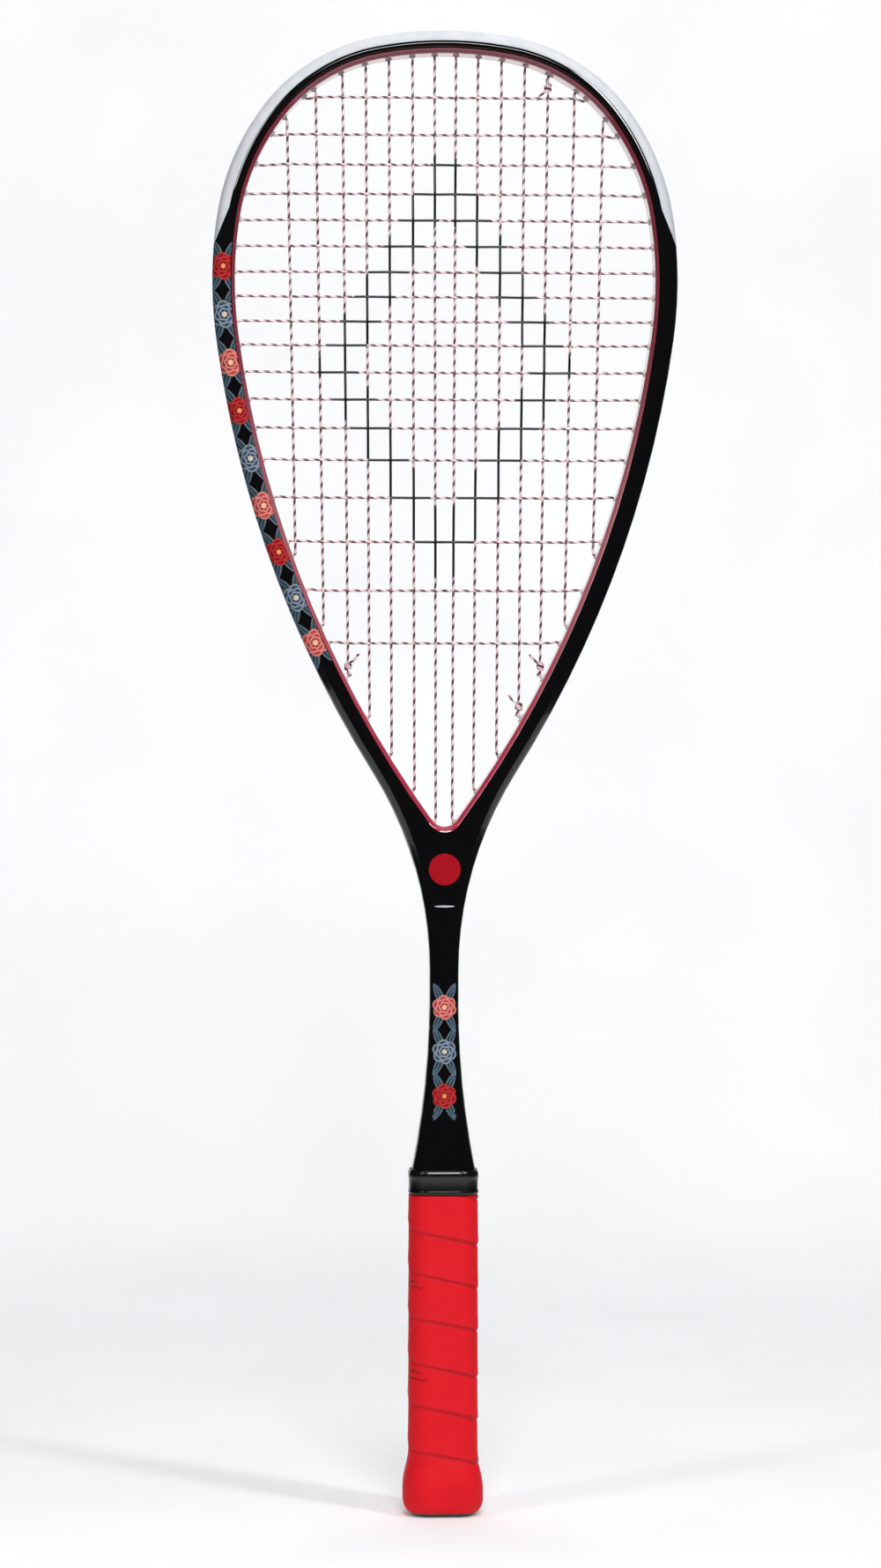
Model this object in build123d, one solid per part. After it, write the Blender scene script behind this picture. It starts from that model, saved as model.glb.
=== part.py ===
from build123d import *
import math
import os

# Squash racket: a hollow composite frame with a strung teardrop head and a wrapped handle.
# X runs across the face, Y through the beam with the front towards -Y, and Z from butt to tip.
# The origin is the middle of the butt end. Sizes are in millimetres and angles in degrees.

# Overall sizes
RACKET_LENGTH = 686.0
HEAD_WIDTH = 215.0
BEAM_DEPTH = 20.0

# Head outline, drawn for a head PATTERN_WIDTH wide: radius and turn of each arc, from the tip round
# to the leg. The leg's own arc runs on until the throat's hollow meets it.
PATTERN_WIDTH = 215.0
TIP_ARCS = ((173.0, 10.8), (84.7, 42.5), (111.4, 28.4), (199.9, 16.1))
LEG_RADIUS = 504.5
THROAT_HOLLOW_RADIUS = 172.0
APEX_RADIUS = 7.0

# Frame section: width of the hoop's wall in the plane of the face, and the thickness of its skin
HOOP_WALL = 10.5
SKIN = 1.6
OUTER_ROUND = 4.5
INNER_ROUND = 3.5

# Shaft, and its swelling down to the shoulder, which meets the handle a little above the grip
SHAFT_WIDTH = 13.5
SWELL_LENGTH = 79.0
SWELL_SECTIONS = 4
SHOULDER_LENGTH = 7.0
SHOULDER_RISE = 4.8
SHOULDER_DEPTH_STEP = 0.4

# Groove round the outside of the hoop, where the strings turn from hole to hole
GROOVE_WIDTH = 6.4
GROOVE_DEPTH = 2.4
GROOVE_RUN_OUT = 26.4
STRIP_THICKNESS = 0.8
STRIP_GAP = 0.3
STRIP_END_GAP = 2.0
SIDE_STRIP_MAINS = 2

# Guard over the tip: its skin, how far it wraps over the faces, and where it ends, below the tip
GUARD_SKIN = 1.3
GUARD_WRAP = 5.0
GUARD_DROP = 101.0
GUARD_SLANT = 12.0
GUARD_STRIP_DROP = 93.5
GUARD_CROSS_ROOM = 2.0
CHANNEL_WIDTH = 4.4

# Grommets: bore, wall, and how far they stand out of the hoop's inner wall
STRING_BORE = 1.7
TIE_BORE = 3.0
GROMMET_WALL = 0.6
GROMMET_PROUD = 0.7

# Strings. Main places are half widths at the tip and at the throat, cross places go down from the
# tip, and both are drawn for a head PATTERN_WIDTH wide.
STRING_DIAMETER = 1.2
MAINS_AT_TIP = (5.0, 15.3, 26.3, 37.2, 48.2, 60.8, 74.3)
MAINS_AT_THROAT = (4.9, 15.0, 25.6, 35.9, 45.9, 57.3, 70.4)
FIRST_CROSS_DROP = 30.2
CROSS_GAPS = (17.2, 13.8, 13.5, 12.1, 12.0, 11.9, 11.4, 11.4, 11.0, 12.5, 12.5, 13.2, 14.7, 17.4,
              20.4, 22.5, 24.3)
WEAVE_HEIGHT = 0.75
WEAVE_RADIUS = 8.0
STRING_BEND_IN = 2.0
MOUTH_RADIUS = 4.0
CROSSING_ROOM = 2.4
LOOP_INSET = 0.85
LOOP_LANE = 1.3
TIE_LANE = 2.55
TIE_SHARE = 0.65
LOOP_LEAD = 3.0
TIE_LEAD = 8.0
EXIT_RADIUS = 1.0
LANE_RADIUS = 15.0
LANE_STEP = 14.0
KNOT_RADIUS = 2.0
KNOT_LENGTH = 3.2
KNOT_RISE = 4.6
TAIL_LENGTH = 7.0
TAIL_ACROSS = 2.5
TAIL_FORWARD = 2.0

# Handle
TANG_WIDTH = 22.0
TANG_DEPTH = 17.0
TANG_BOTTOM = 12.0
TANG_WALL = 2.5
TANG_ROUND = 3.0
PLUG_LENGTH = 15.0
PALLET_WIDTH = 29.4
PALLET_DEPTH = 24.0
PALLET_ROUND = 8.0
PALLET_BOTTOM = 3.0
CAP_TOP = 30.0
CAP_EDGE = 0.6
CAP_FLARE = 2.7
CAP_FLARE_Z = 12.0
CAP_STRAIGHT_Z = 7.0
CAP_ROUND = 6.0
GRIP_THICKNESS = 1.6
GRIP_BOTTOM = 1.0
GRIP_TOP = 149.2
TAPE_THICKNESS = 0.3
TAPE_LENGTH = 6.8

# Rubber collar above the grip
COLLAR_GAP = 0.3
COLLAR_HEIGHT = 11.0
COLLAR_WALL = 0.9
COLLAR_FIT = 0.3
COLLAR_ROUND = 0.7

# Staples that hold the cap, and the tack that holds the start of the grip
STAPLE_WIDTH = 10.0
STAPLE_WIRE = 0.9
STAPLE_LEG = 3.8
STAPLE_SEAT = 0.6
STAPLE_Z = 21.0
TACK_HEAD = 5.0
TACK_HEAD_THICKNESS = 0.6
TACK_SHANK = 1.1
TACK_LENGTH = 5.0
TACK_Z = 9.0

# Clearances
FIT = 0.05
TANG_FIT = 0.15

# How far cutting shapes reach past what they cut, and how far joined shapes reach into each other
OVERRUN = 1.0
OVERLAP = 0.1

# Turns between which the holes are looked for, from the tip round to the apex of the throat
WIDEST_TURN = 90.0
LAST_TURN = 170.0

# Worked out from the sizes above
HEAD_SCALE = HEAD_WIDTH / PATTERN_WIDTH
HALF_BEAM = BEAM_DEPTH / 2
HALF_SHAFT = SHAFT_WIDTH / 2
STRING_RADIUS = STRING_DIAMETER / 2
SHOULDER_Z = GRIP_TOP + SHOULDER_RISE
SWELL_BOTTOM = SHOULDER_Z + SHOULDER_LENGTH
SWELL_TOP = SWELL_BOTTOM + SWELL_LENGTH
SHOULDER_DEPTH = PALLET_DEPTH - SHOULDER_DEPTH_STEP
TAPE_TOP = GRIP_TOP + TAPE_LENGTH
COLLAR_BOTTOM = GRIP_TOP + COLLAR_GAP
STRIP_FACE = GROOVE_DEPTH - STRIP_THICKNESS
BEND_INSET = HOOP_WALL + STRING_BEND_IN
MOUTH_INSET = HOOP_WALL + GROMMET_PROUD
FAR = 4 * HEAD_WIDTH


class Arc:
    """An arc of an outline. A turn is the angle of the outward normal, from +Z towards +X."""

    def __init__(self, centre, radius, start, end, hollow=False):
        self.centre = centre
        self.radius = radius
        self.start = start
        self.end = end
        self.hollow = hollow

    def point(self, turn, inset=0.0):
        """The place at a turn, moved inwards by inset."""
        reach = -(self.radius + inset) if self.hollow else self.radius - inset
        angle = math.radians(turn)
        return (self.centre[0] + reach * math.sin(angle), self.centre[1] + reach * math.cos(angle))

    def length(self):
        return self.radius * math.radians(abs(self.end - self.start))

    def turn_at(self, share):
        return self.start + (self.end - self.start) * share

    def edge(self, inset=0.0):
        places = [self.point(self.turn_at(share), inset) for share in (0, 0.5, 1)]
        return ThreePointArc(*[(x, 0, z) for x, z in places])


def chained_arcs(top, bends):
    """Arcs that follow each other smoothly from a top point on the centre line."""
    arcs = []
    x, z, turn = 0.0, top, 0.0
    for radius, sweep in bends:
        angle = math.radians(turn)
        centre = (x - radius * math.sin(angle), z - radius * math.cos(angle))
        arcs.append(Arc(centre, radius, turn, turn + sweep))
        x, z = arcs[-1].point(turn + sweep)
        turn += sweep
    return arcs


def swell_arc(half_start, half_end):
    """The hollow arc that widens the shaft from one half size to another, down to the handle."""
    drop = SWELL_TOP - SWELL_BOTTOM
    rise = half_end - half_start
    radius = (drop * drop + rise * rise) / (2 * rise)
    sweep = math.degrees(math.asin(drop / radius))
    return Arc((half_start + radius, SWELL_TOP), radius, 90, 90 - sweep, hollow=True)


SCALED_BENDS = [(radius * HEAD_SCALE, sweep) for radius, sweep in TIP_ARCS]
LEG_START = sum(sweep for radius, sweep in TIP_ARCS)
HEAD = chained_arcs(RACKET_LENGTH, SCALED_BENDS + [(LEG_RADIUS * HEAD_SCALE, 180 - LEG_START)])
LEG = HEAD[-1]

# The throat's hollow touches the leg's arc and the shaft's side
HOLLOW_X = HALF_SHAFT + THROAT_HOLLOW_RADIUS
HOLLOW_REACH = LEG.radius + THROAT_HOLLOW_RADIUS
HOLLOW_Z = LEG.centre[1] - math.sqrt(HOLLOW_REACH ** 2 - (HOLLOW_X - LEG.centre[0]) ** 2)
HOLLOW_TURN = 90 + math.degrees(math.atan2(LEG.centre[1] - HOLLOW_Z, HOLLOW_X - LEG.centre[0]))
THROAT_HOLLOW = Arc((HOLLOW_X, HOLLOW_Z), THROAT_HOLLOW_RADIUS, HOLLOW_TURN, 90, hollow=True)

# The apex inside the throat touches the leg's inner side from within
APEX_REACH = LEG.radius - HOOP_WALL - APEX_RADIUS
APEX_Z = LEG.centre[1] - math.sqrt(APEX_REACH ** 2 - LEG.centre[0] ** 2)
APEX_TURN = 90 + math.degrees(math.atan2(LEG.centre[1] - APEX_Z, -LEG.centre[0]))
APEX = Arc((0.0, APEX_Z), APEX_RADIUS + HOOP_WALL, APEX_TURN, 180)

GROOVE_END_Z = APEX_Z - GROOVE_RUN_OUT
SWELL = swell_arc(HALF_SHAFT, PALLET_WIDTH / 2)
OUTSIDE = HEAD[:-1] + [Arc(LEG.centre, LEG.radius, LEG.start, HOLLOW_TURN), THROAT_HOLLOW]
INSIDE = HEAD[:-1] + [Arc(LEG.centre, LEG.radius, LEG.start, APEX_TURN), APEX]
OUTSIDE_LENGTH = sum(arc.length() for arc in OUTSIDE)


def outside_at(length, inset):
    """The place and turn a length along the outside of the frame from the tip."""
    for arc in OUTSIDE:
        if length <= arc.length():
            break
        length -= arc.length()
    turn = arc.turn_at(length / arc.length())
    return arc.point(turn, inset), turn


def inside_point(turn, inset):
    """The place at a turn on the hoop's outline, moved inwards by inset."""
    for arc in INSIDE:
        if turn <= arc.end:
            return arc.point(turn, inset)


def solve(rule, low, high):
    """Where a rule that changes sign between low and high is zero."""
    rising = rule(high) > rule(low)
    for step in range(60):
        middle = (low + high) / 2
        if (rule(middle) > 0) == rising:
            high = middle
        else:
            low = middle
    return (low + high) / 2


def tip_turn(half_width):
    """The turn of the hole for a main string at the tip."""
    return solve(lambda turn: inside_point(turn, HOOP_WALL)[0] - half_width, 0, WIDEST_TURN)


def throat_turn(half_width):
    """The turn of the hole for a main string at the throat."""
    return solve(lambda turn: inside_point(turn, HOOP_WALL)[0] - half_width, WIDEST_TURN, LAST_TURN)


def cross_turn(height):
    """The turn of the hole for a cross string."""
    return solve(lambda turn: inside_point(turn, HOOP_WALL)[1] - height, 0, LAST_TURN)


class Hole:
    """A string hole square to the hoop's inner wall, on the right (side 1) or the left (side -1)."""

    def __init__(self, side, turn, tie=False):
        self.side = side
        self.turn = turn
        self.bore = TIE_BORE if tie else STRING_BORE
        self.exit = self.find_exit()

    def find_exit(self):
        """Length along the outside at which the hole comes out."""
        angle = math.radians(self.turn)
        across, along = math.sin(angle), math.cos(angle)
        x0, z0 = inside_point(self.turn, HOOP_WALL)

        def off_axis(length):
            (x, z), turn = outside_at(length, LOOP_INSET)
            return across * (z - z0) - along * (x - x0)

        return solve(off_axis, 0, OUTSIDE_LENGTH)

    def inner(self, inset, y=0.0):
        x, z = inside_point(self.turn, inset)
        return Vector(self.side * x, y, z)

    def outer(self, inset, y=0.0, shift=0.0):
        (x, z), turn = outside_at(self.exit + shift, inset)
        return Vector(self.side * x, y, z)

    def on_axis(self, inset):
        """The point of the hole's axis at an inset from the outside of the frame."""
        angle = math.radians(self.turn)
        axis = Vector(self.side * math.sin(angle), 0, math.cos(angle))
        slant = math.cos(math.radians(self.turn - outside_at(self.exit, 0)[1]))
        return self.outer(LOOP_INSET) + axis * ((LOOP_INSET - inset) / slant)

    def tube(self, radius, start, end):
        """A cylinder on the hole's axis between two points of it."""
        length = (end - start).length
        plane = Plane(origin=start, z_dir=(end - start).normalized())
        return plane * Cylinder(radius, length, align=(Align.CENTER, Align.CENTER, Align.MIN))


MAIN_COUNT = 2 * len(MAINS_AT_TIP)
HALF_MAINS = len(MAINS_AT_TIP)
CROSS_HEIGHTS = [RACKET_LENGTH - (FIRST_CROSS_DROP + sum(CROSS_GAPS[:i])) * HEAD_SCALE
                 for i in range(len(CROSS_GAPS) + 1)]
CROSS_COUNT = len(CROSS_HEIGHTS)

# Mains are counted from the left, from 0. These holes also take a tied-off end.
TIED_MAIN_THROAT = (2, MAIN_COUNT - 3)
TIED_CROSS_TIP = MAIN_COUNT - 3
TIED_CROSS_THROAT = MAIN_COUNT - 4


def main_place(index, places):
    """Side and half width of a main, counted from the left."""
    if index < HALF_MAINS:
        return -1, places[HALF_MAINS - 1 - index] * HEAD_SCALE
    return 1, places[index - HALF_MAINS] * HEAD_SCALE


def make_main_holes():
    tip, throat = [], []
    for index in range(MAIN_COUNT):
        side, half = main_place(index, MAINS_AT_TIP)
        tip.append(Hole(side, tip_turn(half), tie=index == TIED_CROSS_TIP))
        side, half = main_place(index, MAINS_AT_THROAT)
        tied = index in TIED_MAIN_THROAT or index == TIED_CROSS_THROAT
        throat.append(Hole(side, throat_turn(half), tie=tied))
    return tip, throat


TIP_HOLES, THROAT_HOLES = make_main_holes()
CROSS_HOLES = {side: [Hole(side, cross_turn(height)) for height in CROSS_HEIGHTS] for side in (-1, 1)}
GUARD_CROSSES = [i for i in range(CROSS_COUNT)
                 if CROSS_HEIGHTS[i] > RACKET_LENGTH - (GUARD_STRIP_DROP - GUARD_CROSS_ROOM) * HEAD_SCALE]


def both_sides(edges):
    """Edges of the right side and their mirror images."""
    return edges + [edge.mirror(Plane.YZ) for edge in edges]


def outline_face(inset, bottom):
    """The racket's outline from a height on the upper shaft, moved inwards by inset."""
    edges = [arc.edge(inset) for arc in OUTSIDE]
    half, top = THROAT_HOLLOW.point(90, inset)
    edges.append(Line((half, 0, top), (half, 0, bottom)))
    edges.append(Line((half, 0, bottom), (0, 0, bottom)))
    return Face(Wire(both_sides(edges)))


def hoop_face(inset):
    """The space inside the hoop, for a wall of the width inset."""
    return Face(Wire(both_sides([arc.edge(inset) for arc in INSIDE])))


def prism(face, half_depth):
    """A face in the XZ plane thickened both ways along Y."""
    return extrude(face, half_depth, dir=(0, 1, 0), both=True)


def swollen_shaft():
    """The shaft from where it starts to swell down to the shoulder, where it is as big as the handle."""
    sections = []
    for i in range(SWELL_SECTIONS + 1):
        share = i / SWELL_SECTIONS
        half_width, height = SWELL.point(SWELL.turn_at(share))
        depth = BEAM_DEPTH + (SHOULDER_DEPTH - BEAM_DEPTH) * share ** 2
        rounding = OUTER_ROUND + (PALLET_ROUND - OUTER_ROUND) * share
        sections.append(Plane.XY.offset(height) * RectangleRounded(2 * half_width, depth, rounding))
    return loft(sections) + extrude(sections[-1], SHOULDER_Z - SWELL_BOTTOM)


def rounded_blank(inset):
    """Hoop, throat and upper shaft without the hoop opened, moved inwards by inset, with rounded edges."""
    body = prism(outline_face(inset, SWELL_TOP), HALF_BEAM - inset)
    long_edges = [edge for edge in body.edges()
                  if abs(edge.position_at(0.5).Y) > HALF_BEAM - inset - FIT
                  and edge.position_at(0.5).Z > SWELL_TOP + OVERRUN]
    return fillet(long_edges, OUTER_ROUND - inset)


def band(outer_inset, inner_inset, half_depth):
    """A ribbon that follows the outside of the frame between two insets."""
    ribbon = outline_face(outer_inset, SWELL_TOP) - outline_face(inner_inset, SWELL_TOP - OVERRUN)
    return prism(ribbon, half_depth)


def between(low, high):
    """Everything between two heights."""
    return Pos(0, 0, (low + high) / 2) * Box(FAR, FAR, high - low)


def guard_region(rise):
    """Everything above the slanted ends of the tip guard, moved up by rise."""
    end_z = RACKET_LENGTH - GUARD_DROP * HEAD_SCALE + rise
    end_x = HEAD_WIDTH / 2
    reach = 2 * GUARD_WRAP
    slope = GUARD_SLANT / GUARD_WRAP
    outer, inner = end_x + reach, end_x - reach
    low, high = end_z - reach * slope, end_z + reach * slope
    top = RACKET_LENGTH + FAR
    corners = [(outer, low), (outer, top), (-outer, top), (-outer, low), (-inner, high), (inner, high)]
    return prism(Face(Wire.make_polygon([(x, 0, z) for x, z in corners])), FAR)


def grommet(hole, start_inset, end_point, radius):
    """A tube on a hole's axis, from the groove to a point inside the hoop."""
    return hole.tube(radius, hole.on_axis(start_inset), end_point)


def with_grommets(base, holes):
    """A strip or guard with a grommet for each hole, bored through."""
    root = STRIP_FACE + STRIP_THICKNESS / 2
    for hole in holes:
        base += grommet(hole, root, hole.inner(MOUTH_INSET), hole.bore / 2 + GROMMET_WALL)
    for hole in holes:
        base -= grommet(hole, -GROOVE_DEPTH, hole.inner(MOUTH_INSET + OVERRUN), hole.bore / 2)
    return base


def all_holes():
    return TIP_HOLES + THROAT_HOLES + CROSS_HOLES[-1] + CROSS_HOLES[1]


def make_frame():
    """Hoop, throat, shaft and tang in one hollow piece, with its groove, guard recess and holes."""
    body = rounded_blank(0) - prism(hoop_face(HOOP_WALL), FAR)
    rim = [edge for edge in body.edges() if on_hoop_edge(edge.position_at(0.5))]
    body = fillet(rim, INNER_ROUND)
    body = body + swollen_shaft() + tang_prism(0, SHOULDER_Z + OVERRUN)
    body -= band(-GROOVE_DEPTH, GROOVE_DEPTH, GROOVE_WIDTH / 2) & between(GROOVE_END_Z, FAR)
    recess = (band(-GROOVE_DEPTH, GUARD_WRAP, FAR) & guard_region(0)) - rounded_blank(GUARD_SKIN)
    body -= recess
    body -= make_cavity()
    drills = [grommet(hole, -GROOVE_DEPTH, hole.inner(MOUTH_INSET), hole.bore / 2 + GROMMET_WALL + FIT)
              for hole in all_holes()]
    return body - drills


def on_hoop_edge(place):
    """Whether a point lies on the sharp rim of the opened hoop."""
    if abs(abs(place.Y) - HALF_BEAM) > FIT:
        return False
    for arc in INSIDE:
        reach = math.hypot(abs(place.X) - arc.centre[0], place.Z - arc.centre[1])
        if abs(reach - (arc.radius - HOOP_WALL)) < FIT:
            return True
    return False


def make_cavity():
    """The hollow inside the hoop, shaft and tang."""
    wall = GROOVE_DEPTH + SKIN
    ribbon = outline_face(wall, SWELL_BOTTOM) - hoop_face(HOOP_WALL - SKIN)
    head = prism(ribbon, HALF_BEAM - SKIN)
    return head + tang_prism(TANG_WALL, SWELL_BOTTOM + OVERRUN)


def tang_prism(inset, top):
    """The tang's section, moved inwards by inset, up to a height."""
    bottom = TANG_BOTTOM - (OVERRUN if inset > 0 else 0)
    section = RectangleRounded(TANG_WIDTH - 2 * inset, TANG_DEPTH - 2 * inset, TANG_ROUND - inset / 2)
    return extrude(Plane.XY.offset(bottom) * section, top - bottom)


def make_guard():
    """The guard that wraps the tip, with the grommets of the strings that turn there."""
    shell = rounded_blank(0) & band(-GROOVE_DEPTH, GUARD_WRAP - FIT, FAR) & guard_region(FIT)
    shell -= rounded_blank(GUARD_SKIN - FIT)
    strip_end = RACKET_LENGTH - GUARD_STRIP_DROP * HEAD_SCALE
    strip = band(GUARD_SKIN / 2, GROOVE_DEPTH - FIT, GROOVE_WIDTH / 2 - FIT) & between(strip_end, FAR)
    guard = shell + strip - band(-GROOVE_DEPTH, STRIP_FACE, CHANNEL_WIDTH / 2)
    holes = TIP_HOLES + [CROSS_HOLES[side][i] for side in (-1, 1) for i in GUARD_CROSSES]
    return with_grommets(guard, holes)


def strip_between(side, top, bottom):
    """A flat strip on the groove's floor on one side of the racket, between two heights."""
    strip = band(STRIP_FACE, GROOVE_DEPTH - FIT, GROOVE_WIDTH / 2 - FIT) & between(bottom, top)
    half = Pos(side * FAR / 2, 0, 0) * Box(FAR, FAR, 2 * FAR)
    return strip & half


def strip_mains(side):
    """The throat holes on one side, from the outermost inwards."""
    return THROAT_HOLES[:HALF_MAINS] if side < 0 else THROAT_HOLES[:HALF_MAINS - 1:-1]


def make_side_strip(side):
    """The grommet strip down one side of the hoop."""
    mains = strip_mains(side)
    lowest = CROSS_HOLES[side][-1]
    top = RACKET_LENGTH - (GUARD_STRIP_DROP + STRIP_GAP) * HEAD_SCALE
    bottom = (lowest.outer(0).Z + mains[SIDE_STRIP_MAINS].outer(0).Z) / 2 + FIT
    holes = [hole for i, hole in enumerate(CROSS_HOLES[side]) if i not in GUARD_CROSSES]
    return with_grommets(strip_between(side, top, bottom), holes + mains[:SIDE_STRIP_MAINS])


def make_throat_strip(side):
    """The grommet strip for the main strings that end in one leg of the throat."""
    mains = strip_mains(side)
    lowest = CROSS_HOLES[side][-1]
    top = (lowest.outer(0).Z + mains[SIDE_STRIP_MAINS].outer(0).Z) / 2 - FIT
    bottom = GROOVE_END_Z + STRIP_END_GAP
    return with_grommets(strip_between(side, top, bottom), mains[SIDE_STRIP_MAINS:])


def rounded_path(points, radii):
    """A wire of straight runs between points, with an arc of the given radius at each corner."""
    edges = []
    start = points[0]
    for before, corner, after, radius in zip(points, points[1:], points[2:], radii):
        into = (corner - before).normalized()
        out = (after - corner).normalized()
        half_turn = math.radians(into.get_angle(out)) / 2
        setback = min(radius * math.tan(half_turn), 0.45 * (corner - before).length,
                      0.45 * (after - corner).length)
        bend = setback / math.tan(half_turn)
        enter = corner - into * setback
        leave = corner + out * setback
        middle = corner + (out - into).normalized() * (bend / math.cos(half_turn) - bend)
        edges += [Line(start, enter), ThreePointArc(enter, middle, leave)]
        start = leave
    edges.append(Line(start, points[-1]))
    return Wire(edges)


def string_along(path, radius):
    """A round string swept along a path."""
    section = Plane(origin=path @ 0, z_dir=path % 0) * Circle(radius)
    return sweep(section, path=path)


class Route:
    """The corners of a string's path and their radii, gathered as the string is laced."""

    def __init__(self):
        self.points = []
        self.radii = []

    def add(self, point, radius):
        self.points.append(point)
        self.radii.append(radius)

    def enter(self, hole, share, weave):
        """In from the groove through a grommet to the string bed."""
        self.add(hole.outer(LOOP_INSET, share), EXIT_RADIUS)
        self.add(hole.inner(MOUTH_INSET, share), MOUTH_RADIUS)
        self.add(hole.inner(BEND_INSET, weave), MOUTH_RADIUS)

    def leave(self, hole, share, weave):
        """Out of the string bed through a grommet to the groove."""
        self.add(hole.inner(BEND_INSET, weave), MOUTH_RADIUS)
        self.add(hole.inner(MOUTH_INSET, share), MOUTH_RADIUS)
        self.add(hole.outer(LOOP_INSET, share), EXIT_RADIUS)

    def follow(self, first, last, lane, lead_out, lead_in):
        """Along the groove from one hole to another, in a lane beside the holes."""
        way = 1 if last.exit > first.exit else -1
        run = abs(last.exit - first.exit) - lead_out - lead_in
        if first.side != last.side:
            run = first.exit + last.exit - lead_out - lead_in
        pieces = max(1, math.ceil(run / LANE_STEP))
        for i in range(pieces + 1):
            shift = lead_out + run * i / pieces
            if first.side == last.side:
                place = first.outer(LOOP_INSET, lane, way * shift)
            elif shift < first.exit:
                place = first.outer(LOOP_INSET, lane, -shift)
            else:
                place = last.outer(LOOP_INSET, lane, first.exit - shift)
            self.add(place, MOUTH_RADIUS if i in (0, pieces) else LANE_RADIUS)

    def wire(self):
        return rounded_path(self.points, self.radii[1:-1])


def main_x(index, height):
    """Where a main string crosses a height."""
    top = TIP_HOLES[index].inner(BEND_INSET)
    bottom = THROAT_HOLES[index].inner(BEND_INSET)
    share = (height - bottom.Z) / (top.Z - bottom.Z)
    return bottom.X + (top.X - bottom.X) * share


def crossings_of_main(index):
    """The crosses that a main string passes, from the tip down."""
    top = TIP_HOLES[index].inner(BEND_INSET).Z - CROSSING_ROOM
    bottom = THROAT_HOLES[index].inner(BEND_INSET).Z + CROSSING_ROOM
    return [i for i in range(CROSS_COUNT) if bottom < CROSS_HEIGHTS[i] < top]


def crossings_of_cross(index):
    """The mains that a cross string passes, from the left."""
    left = CROSS_HOLES[-1][index].inner(BEND_INSET).X + CROSSING_ROOM
    right = CROSS_HOLES[1][index].inner(BEND_INSET).X - CROSSING_ROOM
    return [i for i in range(MAIN_COUNT) if left < main_x(i, CROSS_HEIGHTS[index]) < right]


def lift(main, cross):
    """How far a main string stands forward or back where it passes a cross."""
    return WEAVE_HEIGHT * (-1) ** (main + cross)


def tied_weave(share, weave):
    """In a hole with a tied-off end, a string keeps to its own side of the hole."""
    return math.copysign(WEAVE_HEIGHT, share) if share else weave


def lace_main(route, index, downwards, tip_share, throat_share):
    """Add one main string with both its holes."""
    met = crossings_of_main(index)
    top_weave = tied_weave(tip_share, lift(index, met[0] - 1))
    bottom_weave = tied_weave(throat_share, lift(index, met[-1] + 1))
    middles = [Vector(main_x(index, CROSS_HEIGHTS[i]), lift(index, i), CROSS_HEIGHTS[i]) for i in met]
    if downwards:
        route.enter(TIP_HOLES[index], tip_share, top_weave)
        for middle in middles:
            route.add(middle, WEAVE_RADIUS)
        route.leave(THROAT_HOLES[index], throat_share, bottom_weave)
    else:
        route.enter(THROAT_HOLES[index], throat_share, bottom_weave)
        for middle in reversed(middles):
            route.add(middle, WEAVE_RADIUS)
        route.leave(TIP_HOLES[index], tip_share, top_weave)


def lace_cross(route, index):
    """Add one cross string with both its holes. Even ones run from right to left."""
    met = crossings_of_cross(index)
    start_side = 1 if index % 2 == 0 else -1
    weaves = {-1: -lift(met[0] - 1, index), 1: -lift(met[-1] + 1, index)}
    height = CROSS_HEIGHTS[index]
    middles = [Vector(main_x(i, height), -lift(i, index), height) for i in met]
    if start_side > 0:
        middles.reverse()
    route.enter(CROSS_HOLES[start_side][index], 0, weaves[start_side])
    for middle in middles:
        route.add(middle, WEAVE_RADIUS)
    route.leave(CROSS_HOLES[-start_side][index], 0, weaves[-start_side])


def tie_share_at(index):
    """Where the main string itself runs in a throat hole."""
    if index in TIED_MAIN_THROAT:
        return TIE_SHARE
    return -TIE_SHARE if index == TIED_CROSS_THROAT else 0.0


def make_main_route():
    """All the mains in one length, from its tied end on the left to its tied end on the right."""
    route = Route()
    first_tie, last_tie = THROAT_HOLES[TIED_MAIN_THROAT[0]], THROAT_HOLES[TIED_MAIN_THROAT[1]]
    route.add(first_tie.inner(MOUTH_INSET + OVERRUN, -TIE_SHARE), EXIT_RADIUS)
    route.add(first_tie.outer(LOOP_INSET, -TIE_SHARE), EXIT_RADIUS)
    route.follow(first_tie, THROAT_HOLES[0], -TIE_LANE, TIE_LEAD, TIE_LEAD)
    for index in range(MAIN_COUNT):
        downwards = index % 2 == 1
        tip_share = -TIE_SHARE if index == TIED_CROSS_TIP else 0.0
        lace_main(route, index, downwards, tip_share, tie_share_at(index))
        if index == MAIN_COUNT - 1:
            break
        holes = THROAT_HOLES if downwards else TIP_HOLES
        leads = [TIE_LEAD if holes is THROAT_HOLES and i in TIED_MAIN_THROAT else LOOP_LEAD
                 for i in (index, index + 1)]
        route.follow(holes[index], holes[index + 1], -LOOP_LANE, leads[0], leads[1])
    route.follow(THROAT_HOLES[-1], last_tie, -TIE_LANE, TIE_LEAD, TIE_LEAD)
    route.add(last_tie.outer(LOOP_INSET, -TIE_SHARE), EXIT_RADIUS)
    route.add(last_tie.inner(MOUTH_INSET + OVERRUN, -TIE_SHARE), EXIT_RADIUS)
    return route


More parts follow.
